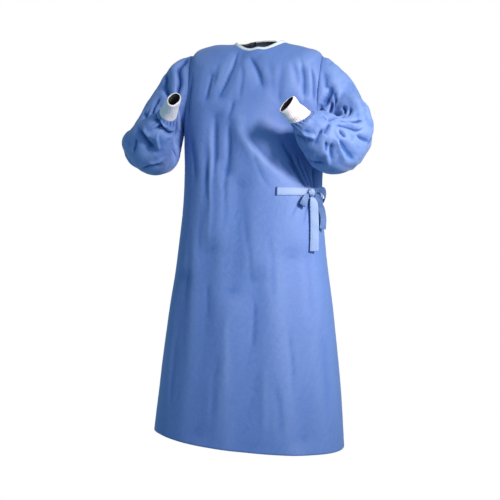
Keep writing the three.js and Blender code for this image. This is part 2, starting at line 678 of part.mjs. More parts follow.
const rightSleeve = sleeveOf(SLEEVE_RIGHT, SLEEVE_RIGHT_FOLDS, RIGHT, ROUND_IS_INWARD);
const leftSleeve = sleeveOf(SLEEVE_LEFT, SLEEVE_LEFT_FOLDS, LEFT, ROUND_IS_OUTWARD);

const sheets = [
  sheet("front", panel(frontPoint, FRONT_COLUMNS), CLOTH, BLUE, ROUND_IS_INWARD),
  sheet("back_right", panel(backRightPoint, BACK_RIGHT_COLUMNS), CLOTH, BLUE, ROUND_IS_OUTWARD),
  sheet("back_left", panel(backLeftPoint, BACK_LEFT_COLUMNS), CLOTH, BLUE, ROUND_IS_OUTWARD),
  sheet("sleeve_right", sleeveRings(rightSleeve), CLOTH, BLUE, rightSleeve.hand, true),
  sheet("sleeve_left", sleeveRings(leftSleeve), CLOTH, BLUE, leftSleeve.hand, true),
  ribbed(sheet("cuff_right", cuffRings(rightSleeve), KNIT, WHITE, rightSleeve.hand, true)),
  ribbed(sheet("cuff_left", cuffRings(leftSleeve), KNIT, WHITE, leftSleeve.hand, true)),
  sheet("neck_binding", neckBinding(), BINDING, WHITE, ROUND_IS_OUTWARD),
];

shareSeams(sheets);
for (const piece of sheets) {
  openSeams(piece);
  add(piece.name, wall(piece), piece.material);
}

const tie = (name, rows, material = PALE_BLUE) => sheet(name, rows, TAPE, material, ROUND_IS_OUTWARD);
const ties = [
  tie("belt_front", beltStrip(BELT_START, BELT_FRONT_END, BELT_WIDTH, BELT_FRONT_STEPS)),
  tie("belt_tack", beltStrip(TACK.from, TACK.to, TACK.height, 1, TACK.lift), THREAD),
  tie("belt_back", beltStrip(BELT_BACK_START, 2 * SIDE - BELT_BACK_END, BELT_WIDTH, BELT_BACK_STEPS)),
  tie("belt_end_long", tape(LONG_END, TAPE_STEPS.longEnd)),
  tie("belt_end_short", tape(SHORT_END, TAPE_STEPS.shortEnd)),
  tie("belt_loop_front", tape(LOOP_FRONT, TAPE_STEPS.loop)),
  tie("belt_loop_back", tape(LOOP_BACK, TAPE_STEPS.loop)),
];
for (const piece of ties) {
  piece.normals = sheetNormals(piece);
  add(piece.name, wall(piece), piece.material);
}

add("belt_knot", knot(), PALE_BLUE);

export default group;
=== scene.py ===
from functools import cache
from math import cos, pi, radians, sin

import bmesh
import bpy
import numpy as np
from bpy.props import FloatProperty, FloatVectorProperty, PointerProperty
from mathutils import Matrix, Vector


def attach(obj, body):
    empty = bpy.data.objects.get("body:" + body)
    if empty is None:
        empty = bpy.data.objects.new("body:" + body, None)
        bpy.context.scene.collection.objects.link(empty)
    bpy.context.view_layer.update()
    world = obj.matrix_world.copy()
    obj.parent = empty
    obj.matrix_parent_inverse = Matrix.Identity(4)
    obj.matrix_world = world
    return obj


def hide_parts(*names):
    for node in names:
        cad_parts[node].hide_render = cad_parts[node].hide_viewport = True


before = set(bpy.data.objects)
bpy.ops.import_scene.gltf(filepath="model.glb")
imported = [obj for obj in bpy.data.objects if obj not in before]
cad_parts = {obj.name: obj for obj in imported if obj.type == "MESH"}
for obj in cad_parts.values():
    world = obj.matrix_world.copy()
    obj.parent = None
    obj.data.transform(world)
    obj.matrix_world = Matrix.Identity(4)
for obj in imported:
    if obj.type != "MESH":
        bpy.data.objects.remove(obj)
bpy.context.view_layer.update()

bl_info = {
    "name": "Surgical gown",
    "version": (1, 0, 0),
    "blender": (4, 5, 0),
    "location": "3D View > Sidebar > Gown",
    "description": "A worn surgical gown of nonwoven cloth with knitted cuffs and a tied belt",
    "category": "Object",
}

# Everything below is in millimetres and degrees until a mesh is made. X runs to the wearer's
# left, Y to the wearer's back and Z up, as in the solids.
MM = 0.001

FRONT, BACK = -1, 1
RIGHT, LEFT = -1, 1
OUTWARD, INWARD = 1, -1
SIDE = 90.0
STEP = 0.01

# Places along the body, from the neck edge (0) over the armholes to the hem
BINDING_EDGE = -0.1
NECK_EDGE = 0.0
SHOULDER_END = 1.0
UNDERARM = 2.0
HEM = 7.0

# Rings round the body, the solids' own
BODY_COLUMNS = "at side front back half fore aft shift tilt box".split()
BODY = np.array([
    (-0.1, 12, -26, 29, 72, 76, 64, 0, 0, 2),
    (0, 5, -34, 21, 80, 84, 72, 0, 1, 2),
    (0.5, -3, -74, -16, 140, 103, 94, -4, 9, 2.2),
    (1, -30, -128, -70, 195, 120, 112, -9, 9, 2.6),
    (1.5, -135, -212, -170, 213, 134, 124, -11, 8, 3),
    (2, -262, -306, -285, 211, 141, 126, -18, 4, 2.8),
    (3, -432, -436, -436, 207, 143, 122, -24, 0, 2.5),
    (4, -610, -610, -610, 222, 152, 134, -28, 2, 2.3),
    (5, -800, -800, -800, 249, 168, 152, -31, 6, 2.2),
    (6, -985, -987, -985, 270, 184, 168, -34, 12, 2.2),
    (7, -1172, -1175, -1172, 285, 194, 180, -38, 20, 2.2),
], float)

# Broad folds of the body, the solids' own: from X and Z, to X and Z, half width, depth
BROAD_FOLDS = {
    FRONT: np.array([
        (-44, -48, -94, -162, 20, 6),
        (-2, -66, 27, -130, 20, 5),
        (-124, -105, -136, -165, 18, 5),
        (140, -100, 154, -155, 20, 5),
        (-104, -235, -112, -340, 24, 7),
        (-60, -255, -72, -380, 24, 7),
        (-40, -250, 24, -355, 30, -7),
        (112, -250, 150, -340, 66, 40),
        (-30, -430, -52, -720, 34, 7),
        (-128, -620, -150, -1120, 44, 9),
        (14, -700, 20, -1150, 46, 8),
        (122, -640, 150, -1130, 44, 9),
        (-215, -700, -236, -1150, 34, 8),
    ], float),
    BACK: np.array([
        (-70, -50, -120, -190, 24, 6),
        (80, -60, 128, -200, 24, 6),
        (-110, -300, -100, -560, 36, 9),
        (84, -330, 92, -600, 34, 8),
        (-20, -420, -30, -760, 36, 7),
        (-150, -700, -176, -1150, 46, 11),
        (-30, -800, -36, -1150, 46, 9),
        (120, -720, 152, -1150, 46, 11),
    ], float),
}

# Creases laid over them: three places of a curved line as X and Z, half width, depth at its
# start and at its end, and how sharp its bottom is. A ridge has a negative depth.
FRONT_CREASES = np.array([
    # yoke and chest
    (-52, -22, -69, -97, -102, -176, 6.5, 6, 3, 0.9),
    (-16, -42, 8, -90, 32, -146, 9, 5, 7, 0.6),
    (-122, -84, -134, -136, -142, -190, 7, 4, 3, 0.8),
    (132, -56, 145, -116, 150, -190, 10, 4, 7, 0.5),
    (164, -71, 173, -137, 180, -207, 7, 4, 9, 0.6),
    (-42, -62, -30, -123, -40, -212, 10, 2.5, 1.5, 0.5),
    (83, -66, 80, -142, 80, -207, 17, 3, 3, 0.1),
    (103, -67, 122, -104, 129, -158, 12, 3, 3, 0.2),
    (-51, -168, -59, -211, -74, -245, 12, 3, 2, 0.3),
    (40, -60, 56, -120, 62, -190, 15, 2, 2, 0.1),
    (-100, -60, -112, -96, -118, -140, 10, 2, 2, 0.3),
    (-191, -95, -196, -170, -203, -230, 8, 5, 6, 0.4),
    # towards the waist
    (-109, -225, -109, -320, -113, -470, 10, 5, 2, 0.4),
    (-64, -240, -69, -345, -78, -500, 10, 5, 2, 0.4),
    (-123, -235, -123, -420, -130, -640, 9, -4, -3, 0.2),
    (-141, -300, -143, -440, -150, -600, 10, 3, 2, 0.3),
    (-46, -249, 32, -357, 134, -427, 15, -3, -2, 0.2),
    (-24, -232, 26, -326, 104, -398, 22, 4, 6, 0.1),
    (-210, -227, -208, -317, -206, -421, 16, 5, 4, 0.2),
    (-191, -261, -180, -350, -177, -436, 14, 4, 4, 0.3),
    (-85, -369, -77, -468, -85, -581, 12, 3, 2, 0.3),
    (-21, -470, -3, -611, 4, -724, 12, 3, 2, 0.2),
    (-156, -467, -157, -554, -162, -641, 10, 3, 2, 0.4),
    (-132, -330, -136, -420, -130, -500, 9, 2, 2, 0.4),
    (2, -300, 26, -382, 64, -440, 10, 2, 1.5, 0.3),
    # gathered into the belt's knot
    (80, -292, 122, -370, 159, -448, 8, 4, 8, 0.6),
    (108, -322, 136, -384, 162, -450, 6, 6, 12, 0.8),
    (146, -344, 155, -390, 166, -452, 5, 7, 12, 0.8),
    (187, -354, 183, -400, 171, -452, 5, 6, 12, 0.8),
    (168, -362, 169, -402, 169, -452, 4, 4, 10, 0.8),
    (132, -360, 147, -402, 164, -452, 4, 4, 9, 0.8),
    (96, -346, 132, -400, 160, -452, 5, 4, 8, 0.7),
    (162, -462, 150, -505, 142, -560, 7, 5, 1, 0.5),
    (170, -462, 174, -512, 172, -580, 8, 5, 1, 0.5),
    (150, -461, 122, -494, 104, -540, 7, 3, 1, 0.4),
    (180, -460, 196, -505, 204, -566, 8, 4, 2, 0.4),
    # skirt
    (54, -555, 61, -668, 73, -779, 12, 2.5, 2, 0.2),
    (161, -583, 167, -697, 183, -839, 16, 4, 3, 0.2),
    (-125, -698, -129, -754, -131, -812, 14, 3, 2, 0.2),
    (12, -739, 15, -821, 15, -905, 12, 2.5, 2, 0.2),
    (111, -809, 124, -920, 130, -1032, 12, 3, 3, 0.2),
    (-234, -846, -242, -961, -248, -1107, 14, 4, 4, 0.2),
    (-96, -894, -99, -1006, -110, -1145, 16, 3, 4, 0.1),
    (77, -975, 89, -1058, 101, -1152, 14, 3, 4, 0.2),
    (194, -841, 206, -955, 218, -1125, 16, 4, 5, 0.1),
    (-58, -760, -66, -900, -60, -1050, 18, -3, -3, 0),
    (42, -900, 48, -1020, 52, -1160, 15, -2, -3, 0),
    (-190, -560, -198, -680, -206, -800, 15, 3, 3, 0.2),
], float)
BACK_CREASES = np.array([
    (-52, -30, -74, -92, -104, -150, 9, 5, 2, 0.6),
    (60, -32, 84, -90, 108, -160, 9, 5, 2, 0.6),
    (-4, -40, -16, -110, -14, -190, 12, 3, 2, 0.3),
    (30, -50, 44, -120, 46, -210, 13, 3, 2, 0.2),
    (-150, -80, -158, -130, -160, -190, 12, 4, 5, 0.3),
    (152, -90, 160, -146, 166, -205, 10, 4, 6, 0.4),
    (-130, -180, -104, -250, -96, -330, 14, 4, 3, 0.3),
    (120, -190, 98, -262, 92, -340, 14, 4, 3, 0.3),
    (-60, -230, -52, -320, -58, -420, 13, 4, 4, 0.3),
    (20, -250, 12, -340, 18, -436, 13, 3, 4, 0.3),
    (56, -260, 60, -350, 52, -436, 11, 3, 4, 0.3),
    (-174, -270, -160, -350, -140, -434, 13, 4, 5, 0.3),
    (165, -270, 158, -350, 150, -434, 12, 4, 6, 0.4),
    (-140, -462, -150, -540, -164, -640, 12, 5, 2, 0.3),
    (-90, -462, -84, -560, -92, -680, 13, 4, 2, 0.3),
    (-40, -462, -46, -540, -38, -640, 10, 4, 2, 0.4),
    (14, -462, 20, -560, 10, -690, 12, 4, 2, 0.3),
    (70, -462, 66, -545, 78, -650, 11, 4, 2, 0.4),
    (118, -462, 128, -570, 144, -700, 13, 5, 2, 0.3),
    (-120, -720, -132, -860, -140, -1010, 17, 3, 4, 0.1),
    (-76, -860, -84, -1000, -90, -1150, 18, -4, -5, 0),
    (20, -780, 26, -930, 34, -1100, 16, 4, 4, 0.2),
    (78, -840, 88, -990, 96, -1150, 15, 3, 5, 0.2),
    (196, -800, 210, -950, 222, -1120, 15, 4, 5, 0.2),
    (-226, -760, -238, -920, -250, -1100, 16, 4, 5, 0.2),
    (56, -240, 40, -300, 66, -372, 9, 2, 2, 0.5),
    (-20, -500, -60, -560, -70, -640, 10, 2, 2, 0.4),
], float)
CREASES = {FRONT: FRONT_CREASES, BACK: BACK_CREASES}

# How much the cloth adds to its creases: factors of the half width, of both depths and of the
# sharpness, and what is added to the sharpness
BODY_CREASING = (0.85, 1.1, 1.1, 1), 0.25
SLEEVE_CREASING = (0.8, 1.05, 1.05, 1), 0.35
SLEEVE_CREASE_DEPTH = 1.95

# Crumple: size of its faces, seed, share of the crumple's height, and on the body how far it is
# drawn out downwards
BODY_CRUMPLE = ((44, 21, 0.55, 0.22), (15, 25, 0.22, 0.6))
SLEEVE_CRUMPLE = ((46, 2, 2.8), (18, 6, 0.5))

# Sections of a sleeve from the armhole to the cuff's mouth, the solids' own
SLEEVE_COLUMNS = "innerX innerY innerZ outerX outerY outerZ fore aft".split()
SLEEVE_LEFT = np.array([
    (206, -4, -262, 194, -4, -40, 76, 76),
    (224, -18, -262, 276, 2, -128, 76, 76),
    (233, -46, -255, 312, -7, -198, 78, 78),
    (230, -74, -247, 322, -23, -262, 80, 80),
    (223, -98, -240, 313, -46, -332, 81, 82),
    (217, -118, -235, 276, -78, -384, 80, 81),
    (212, -138, -231, 230, -116, -399, 77, 77),
    (207, -155, -229, 187, -150, -382, 68, 66),
    (198, -169, -229, 154, -181, -334, 57, 54),
    (187, -183, -230, 136, -200, -292, 43, 41),
    (176, -196, -234, 123, -207, -264, 25, 25),
    (136, -232, -195, 101, -239, -239, 20, 20),
], float)
SLEEVE_RIGHT = np.array([
    (-222, -8, -262, -205, -6, -26, 74, 74),
    (-234, -18, -256, -279, -28, -71, 70, 78),
    (-242, -34, -276, -332, -44, -157, 58, 76),
    (-247, -52, -320, -362, -66, -229, 46, 72),
    (-250, -84, -354, -384, -102, -268, 40, 68),
    (-247, -122, -362, -374, -146, -272, 42, 64),
    (-236, -156, -346, -345, -180, -262, 44, 60),
    (-223, -185, -314, -309, -206, -245, 44, 54),
    (-208, -209, -280, -271, -225, -230, 38, 42),
    (-198, -230, -248, -235, -240, -218, 28, 29),
    (-173, -276, -211, -201, -284, -189, 28, 28),
], float)

# Creases of a sleeve, given as those of the body but in rows along it and degrees round it,
# from the top of the armhole over the front
SLEEVE_LEFT_CREASES = np.array([
    # below the shoulder, into the crook of the elbow
    (0.33, 63, 0.40, 87, 0.33, 112, 11, 7, 12, 0.4),
    (0.64, 87, 0.71, 102, 0.64, 118, 8, 5, 9, 0.4),
    (0.60, 71, 0.79, 83, 1.26, 106, 9, 3, 4, 0.4),
    (0.16, 98, 0.16, 113, 0.26, 128, 9, 9, 18, 0.3),
    (2.23, 122, 2.69, 135, 3.13, 146, 8, 5, 6, 0.4),
    (2.80, 120, 3.33, 133, 4.25, 142, 8, 4, 6, 0.4),
    (0.20, 44, 0.16, 62, 0.18, 84, 7, 4, 5, 0.5),
    # from the crook over the forearm
    (8.38, 150, 7.89, 137, 7.36, 131, 7, 10, 13, 0.5),
    (7.36, 133, 5.97, 149, 3.13, 143, 9, 12, 9, 0.4),
    (6.33, 133, 4.59, 125, 3.79, 100, 8, 9, 3, 0.5),
    (6.72, 120, 5.51, 118, 4.12, 94, 8, 11, 3, 0.5),
    (6.50, 113, 6.22, 105, 5.97, 97, 8, 7, 4, 0.4),
    (6.50, 97, 5.95, 74, 5.27, 43, 15, 7, 3, 0.1),
    (5.05, 101, 4.67, 83, 4.39, 53, 8, 9, 3, 0.4),
    (7.30, 126, 7.49, 103, 7.67, 85, 8, 7, 4, 0.4),
    (7.74, 99, 7.91, 73, 7.94, 39, 9, 9, 4, 0.4),
    (7.41, 81, 7.36, 66, 7.27, 50, 8, 6, 3, 0.3),
    (7.05, 86, 7.01, 65, 6.81, 40, 9, 8, 3, 0.3),
    (8.66, -8, 8.53, 16, 8.33, 38, 11, 11, 4, 0.4),
    (7.38, 2, 7.25, 19, 7.08, 34, 8, 6, 2, 0.3),
    (4.60, 60, 4.00, 44, 3.50, 20, 13, 4, 2, 0.2),
    (9.08, 36, 8.58, 50, 8.05, 66, 10, -6, -5, 0.1),
    (6.92, 97, 6.48, 76, 5.95, 51, 9, -4, -3, 0.2),
    (7.34, 69, 7.16, 45, 6.79, 19, 8, -4, -2, 0.2),
    (5.91, 126, 4.74, 118, 4.08, 100, 8, -4, -2, 0.2),
    # round the elbow and on the hidden side
    (2.50, 18, 3.20, 4, 4.00, -8, 15, 3, 4, 0.2),
    (5.40, 16, 5.10, -14, 4.70, -46, 12, 3, 6, 0.3),
    (3.80, -150, 4.00, -104, 4.30, -58, 12, 9, 3, 0.4),
    (6.20, -152, 6.10, -100, 6.30, -50, 12, 9, 3, 0.4),
    (5.00, -160, 5.10, -130, 5.30, -96, 9, 10, 4, 0.5),
    (7.10, -158, 7.20, -120, 7.00, -82, 9, 8, 3, 0.5),
    (8.00, -150, 8.10, -110, 8.30, -70, 9, 7, 3, 0.4),
    (2.60, -150, 2.90, -110, 3.10, -76, 12, 8, 3, 0.4),
    (0.50, -70, 0.90, -90, 1.40, -116, 12, 4, 7, 0.3),
    (0.70, -40, 1.40, -54, 2.20, -72, 15, 3, 5, 0.2),
    (7.60, -30, 7.40, -8, 7.50, 8, 9, 5, 2, 0.4),
    (5.60, -80, 5.20, -60, 5.00, -30, 10, -4, -3, 0.2),
    (8.80, -60, 8.50, -96, 8.60, -130, 9, 4, 7, 0.4),
], float)
SLEEVE_RIGHT_CREASES = np.array([
    # from the shoulder to the elbow
    (0.22, 0, 0.42, 50, 0.80, 100, 13, 10, 13, 0.5),
    (1.14, 10, 1.34, 44, 1.50, 84, 11, 8, 11, 0.5),
    (2.61, 24, 2.66, 34, 2.69, 46, 10, 3, 5, 0.4),
    (2.40, 62, 3.60, 66, 4.80, 56, 11, 5, 6, 0.3),
    (1.76, 50, 2.12, 54, 2.60, 62, 10, 4, 6, 0.3),
    (2.10, 44, 3.00, 42, 3.90, 34, 10, 4, 3, 0.4),
    (0.60, -20, 1.40, -30, 2.20, -30, 14, 3, 4, 0.2),
    # over the forearm below the cuff
    (7.05, -26, 6.87, -85, 6.65, -128, 21, 11, 12, 0.3),
    (7.82, -75, 8.04, -99, 8.22, -130, 8, 6, 8, 0.5),
    (8.10, -30, 8.10, -52, 8.04, -76, 9, 5, 7, 0.5),
    (6.43, -51, 6.21, -68, 5.83, -75, 10, 4, 3, 0.3),
    (8.68, 160, 7.96, -165, 7.56, -150, 9, 6, 8, 0.4),
    (5.20, -100, 5.50, -130, 5.40, -160, 12, 4, 5, 0.2),
    (4.60, -40, 4.90, -70, 4.70, -100, 14, 4, 3, 0.2),
    (7.80, -100, 7.25, -119, 6.63, -135, 9, -4, -4, 0.2),
    (7.43, -46, 7.45, -74, 7.39, -93, 8, -5, -4, 0.2),
    (8.58, -85, 8.34, -110, 8.18, -134, 8, -3, -3, 0.1),
    (5.99, -110, 5.93, -132, 6.13, -155, 10, -4, -3, 0.2),
    (8.30, 20, 8.10, 0, 8.00, -20, 8, 6, 5, 0.4),
    (7.60, 50, 7.40, 24, 7.50, -4, 9, 7, 4, 0.4),
    # the inner side, towards the body, and the back
    (4.00, 120, 4.40, 150, 4.30, 186, 12, 9, 4, 0.4),
    (5.40, 110, 5.60, 140, 5.50, 170, 10, 9, 4, 0.4),
    (6.60, 110, 6.70, 136, 6.60, 166, 10, 8, 4, 0.4),
    (3.00, 110, 3.30, 140, 3.50, 172, 12, 8, 3, 0.3),
    (1.40, 100, 1.90, 120, 2.60, 140, 13, 6, 6, 0.3),
    (3.20, -150, 3.60, -120, 4.40, -88, 14, 7, 3, 0.3),
    (0.50, -60, 0.90, -84, 1.50, -110, 12, 4, 7, 0.3),
    (2.30, -100, 2.80, -128, 3.00, -160, 12, 4, 7, 0.3),
    (4.60, 84, 4.90, 70, 5.30, 50, 11, 8, 3, 0.4),
    (6.00, 84, 6.20, 66, 6.30, 44, 10, 7, 3, 0.4),
], float)

# Length of a sleeve's row and its radius, in which its creases are measured
ROW_LENGTH = 42
ROUND_RADIUS = 78

# What the sleeves don't share: hanging and elbow say how far the cloth lies outside its solid
# below the arm and at the elbow, and rim, waist and foot how far the cuff swells at its mouth,
# in its middle and at its seam.
SLEEVES = {
    LEFT: {
        "sections": SLEEVE_LEFT,
        "creases": SLEEVE_LEFT_CREASES,
        "hand": OUTWARD,
        "tucks": 15,
        "seed": 30,
        "hanging": 0,
        "elbow": 0,
        "rim": -0.6,
        "waist": 0.4,
        "foot": 1.4,
    },
    RIGHT: {
        "sections": SLEEVE_RIGHT,
        "creases": SLEEVE_RIGHT_CREASES,
        "hand": INWARD,
        "tucks": 14,
        "seed": 40,
        "hanging": 12.5,
        "elbow": 9,
        "rim": -3.0,
        "waist": -0.9,
        "foot": 1.0,
    },
}
NAMES = {LEFT: "left", RIGHT: "right"}

# Rows and columns of the meshes
YOKE_ROWS, ARMHOLE_ROWS, CHEST_ROWS, SKIRT_ROWS = 26, 80, 36, 140
FRONT_COLUMNS, BACK_RIGHT_COLUMNS, BACK_LEFT_COLUMNS = 139, 97, 93
SLEEVE_ROWS = 150
CUFF_RIBS, RIB_COLUMNS, CUFF_ROWS = 30, 9, 34

ARMHOLE_CUT = {FRONT: 34, BACK: 31}
# The creases grow weaker from the waist down to this level of the skirt
SMOOTH_SKIRT, SMOOTH_REACH = -540, 300
SKIRT_CREASES, WAIST_CREASES = 0.6, 1.2
WRAP_OVER, WRAP_UNDER = 28, -22
WRAP_LIFT, WRAP_LIFT_FROM, WRAP_LIFT_TO = 4, -52, -27
SLEEVE_BLEND_ROWS = 1.6
SEAM_GAP = 0.3
SEAM_SETBACK = 0.06
# How far the middle of the front's neck edge lies above its solid
NECK_RISE = 6

# Strength of the painted shade in dips and of the painted highlight on ridges; tapes get only shade
FRONT_PAINTED_LIGHT, BACK_PAINTED_LIGHT, SLEEVE_PAINTED_LIGHT, TAPE_PAINTED_SHADE = 0.75, 0.5, 1.5, 1.5
# How far a sleeve's place must lie behind its neighbours before painted shade starts there
SLEEVE_PAINTED_SHADE_FROM = 0.16
# Columns at the front's sides and rows at the sleeves' tops over which the painted light fades out
PAINTED_LIGHT_FADE_COLUMNS, PAINTED_LIGHT_FADE_ROWS = 5, 7

# The cuff's edge rolls in at its mouth: how far inwards and onwards from the cuff's end
ROLLED_EDGE = ((0.7, 0.8), (1.7, 1.2), (2.7, 0.9), (3.3, 0.1))

# Belt and bow, the solids' own places
BELT_LEVEL = -445
BELT_WIDTH = 22
BELT_LIFT = 2.2
BELT_START, BELT_FRONT_END = 26, 56.2
BELT_BACK_START, BELT_BACK_END = 56.8, 30
TACK = {"from": 25.7, "to": 26.9, "height": 24, "lift": 3.1, "turns": 17, "thread": 0.55}
KNOT = {"angle": 56.5, "level": -447, "lift": 11.1, "width": 28, "height": 24, "depth": 17}

# Places of a tape's middle: angle, level, lift from the cloth, width, and how its width is
# turned from level and leans out
TAPE_COLUMNS = "angle level lift width turn lean".split()
LONG_END = np.array([
    (56.3, -459.5, 11, 10, 4, 8),
    (57.4, -478, 14.5, 22, 4, 30),
    (57.8, -520, 14.5, 24, 2, 34),
    (57.6, -566, 13, 24, -2, 34),
    (57, -616, 12, 24, 2, 34),
], float)
SHORT_END = np.array([
    (60, -455.8, 10.6, 9, 50, 6),
    (64, -474, 13, 18, 34, 14),
    (70.5, -496, 12, 22, 18, 26),
    (73.5, -522, 12, 22, -4, 28),
    (71, -552, 11, 22, -12, 24),
], float)
LOOP_FRONT = np.array([
    (52.1, -452.4, 11.4, 9, -40, 0),
    (49.6, -460, 17, 17, -36, 0),
    (47.2, -474, 18, 19, -28, 0),
    (46.4, -486, 13, 19, -24, 0),
    (47.6, -477, 8, 18, -28, 0),
    (50, -465, 7, 15, -36, 0),
    (52.4, -458.5, 8, 8, -45, 0),
], float)
LOOP_BACK = np.array([
    (61.0, -444.4, 11, 9, 100, 8),
    (66, -438, 17, 16, 100, 10),
    (72, -441, 21, 18, 84, 8),
    (75.5, -456, 20, 18, 60, 6),
    (75.5, -470, 14, 18, 50, 6),
    (71.5, -468, 10, 17, 56, 4),
    (66.5, -459, 8, 14, 66, 2),
    (61.5, -451, 8.5, 8, 70, 0),
], float)

# The bow's tapes: name, places, rows, seed, curl of the edges, flat length in metres, and how
# much painted shade darkens the whole tape
TAPES = (
    ("end_long", LONG_END, 110, 71, 0.0, 0.16, 0.05),
    ("end_short", SHORT_END, 90, 72, 0.8, 0.11, 0.75),
    ("loop_front", LOOP_FRONT, 110, 73, -0.9, 0.08, 0.35),
    ("loop_back", LOOP_BACK, 120, 74, -0.9, 0.11, 0.9),
)
TAPE_ACROSS = np.linspace(-1, 1, 17)[None]

# Stitches: their length, the gap between two of them and the thread's radius
BELT_STITCH = (2.4, 0.9, 0.22)
NECK_STITCH = (2.6, 0.9, 0.28)

# Camera: turned to the wearer's left of straight ahead, level with the gown's middle
CAMERA_TURN = 12
CAMERA_DISTANCE = 2600
CAMERA_LEVEL = -612
CAMERA_ASIDE = -33
CAMERA_LENS = 62.4
SENSOR_WIDTH = 36

# Lights: size in metres, spread in degrees, colour, and the place and target as metres to the
# camera's right, towards it and up
LIGHTS = {
    "key": (0.6, 40, (1.0, 0.89, 0.78), (1.75, 2.3, 1.3), (0.25, 0, 0.13)),
    "fill": (1.6, 180, (0.8, 0.93, 1.0), (1.7, 2.4, 0.8), (0, 0, 0)),
}
ROOM_LIGHT = (0.45, 0.79, 1.0, 1)

# Floor in metres: the hole that is closed in its middle, its reach, rings and sides
FLOOR_START, FLOOR_REACH = 0.02, 1.8
FLOOR_RINGS, FLOOR_SIDES = 12, 64


# Numbers and tables


def smooth(share):
    share = np.clip(share, 0, 1)
    return share * share * (3 - 2 * share)


def mix(a, b, share):
    return a + (b - a) * share


def bell(x, middle, width, power=2):
    """1 at the middle, falling off to 0 on both sides."""
    return np.exp(-(((x - middle) / width) ** power))


def unit(v):
    return v / np.linalg.norm(v, axis=-1, keepdims=True)


def read_table(table, names, at, places=None):
    """All columns of a table at places between its rows, along a smooth curve."""
    places = np.arange(len(table), dtype=float) if places is None else places
    at = np.asarray(at, float)
    row = np.clip(np.searchsorted(places, at, side="left") - 1, 0, len(places) - 2)
    span = (places[row + 1] - places[row])[..., None]
    s = (at - places[row])[..., None] / span
    before = np.maximum(np.arange(len(places)) - 1, 0)
    after = np.minimum(np.arange(len(places)) + 1, len(places) - 1)
    slopes = (table[after] - table[before]) / (places[after] - places[before])[:, None]
    read = (
        (2 * s**3 - 3 * s**2 + 1) * table[row]
        + (s**3 - 2 * s**2 + s) * slopes[row] * span
        + (3 * s**2 - 2 * s**3) * table[row + 1]
        + (s**3 - s**2) * slopes[row + 1] * span
    )
    return {name: read[..., i] for i, name in enumerate(names)}


def waves(places, size, seed, count=5):
    """A soft uneven height, about -1 to 1, of waves about this long, the same in each run."""
    rng = np.random.default_rng(seed)
    total = np.zeros(places.shape[:-1])
    for _ in range(count):
        way = unit(rng.normal(size=3)) * 2 * pi / (size * rng.uniform(0.75, 1.5))
        total += np.sin(places @ way + rng.uniform(0, 2 * pi))
    return total / count**0.5


def crumple(places, size, seed, count=6):
    """Uneven height, about -1 to 1, of flat faces about this large that meet in creases."""
    rng = np.random.default_rng(seed)
    bend = np.stack([waves(places, size * 2.6, seed + i) for i in (1, 2, 3)], -1)
    bent = places + bend * size * 0.4
    total = np.zeros(places.shape[:-1])
    for _ in range(count):
        way = unit(rng.normal(size=3)) / (size * rng.uniform(0.9, 1.9))
        total += np.abs((bent @ way + rng.uniform()) % 1 - 0.5) * 4 - 1
    return total / count**0.5


def broad_depth(folds, u, v):
    depth = np.zeros_like(u)
    for from_u, from_v, to_u, to_v, wide, deep in folds:
        du, dv = to_u - from_u, to_v - from_v
        along = ((u - from_u) * du + (v - from_v) * dv) / (du * du + dv * dv)
        share = np.clip(along, 0, 1)
        away = (u - from_u - du * share) ** 2 + (v - from_v - dv * share) ** 2
        depth += deep * np.exp(-away / wide**2)
    return depth


def tuned(creases, unit_u, unit_v, factors, sharper):
    """A table of creases in millimetres, as strong and sharp as the cloth makes them."""
    creases = creases * np.array((*(unit_u, unit_v) * 3, *factors))
    return creases + np.array((0,) * 9 + (sharper,))


def crease_depth(creases, u, v, pieces=10):
    """Depth of curved creases at places u and v, with a slight swell on both sides of each."""
    depth = np.zeros_like(u)
    share = np.linspace(0, 1, pieces + 1)
    for from_u, from_v, via_u, via_v, to_u, to_v, wide, deep, end, sharp in creases:
        bend_u = 2 * via_u - (from_u + to_u) / 2
        bend_v = 2 * via_v - (from_v + to_v) / 2
        line_u = (1 - share) ** 2 * from_u + 2 * share * (1 - share) * bend_u + share**2 * to_u
        line_v = (1 - share) ** 2 * from_v + 2 * share * (1 - share) * bend_v + share**2 * to_v
        reach = 3.2 * wide
        near = (
            (u > line_u.min() - reach)
            & (u < line_u.max() + reach)
            & (v > line_v.min() - reach)
            & (v < line_v.max() + reach)
        )
        if not near.any():
            continue
        at_u, at_v = u[near], v[near]
        best = np.full(at_u.shape, np.inf)
        place = np.zeros(at_u.shape)
        for i in range(pieces):
            du, dv = line_u[i + 1] - line_u[i], line_v[i + 1] - line_v[i]
            along = ((at_u - line_u[i]) * du + (at_v - line_v[i]) * dv) / (du * du + dv * dv)
            along = np.clip(along, 0, 1)
            away = (at_u - line_u[i] - du * along) ** 2 + (at_v - line_v[i] - dv * along) ** 2
            closer = away < best
            best = np.where(closer, away, best)
            place = np.where(closer, (i + along) / pieces, place)
        q = best / wide**2
        soft = (1 - 0.35 * q) * np.exp(-q / 1.5)
        cut = np.exp(-1.7 * (np.sqrt(q + 0.03) - 0.17)) * np.exp(-q / 5)
        taper = mix(0.12, 1, smooth(np.minimum(place, 1 - place) / 0.34))
        depth[near] += mix(deep, end, place) * taper * mix(soft, cut, sharp)
    return depth


# Body of the gown


def plain_body(face, angle, at):
    """Places on the plain body. Angles run from the face's middle to the wearer's left."""
    ring = read_table(BODY, BODY_COLUMNS, at, BODY[:, 0])
    across, out = np.sin(np.radians(angle)), np.cos(np.radians(angle))
    square = (np.abs(across) ** ring["box"] + np.abs(out) ** ring["box"]) ** (-1 / ring["box"])
    depth = ring["fore"] if face == FRONT else ring["aft"]
    level = ring["front"] if face == FRONT else ring["back"]
    return np.stack([
        ring["shift"] + ring["half"] * across * square,
        face * depth * out * square,
        mix(ring["side"], level, out * out) - ring["tilt"] * across,
    ], axis=-1)


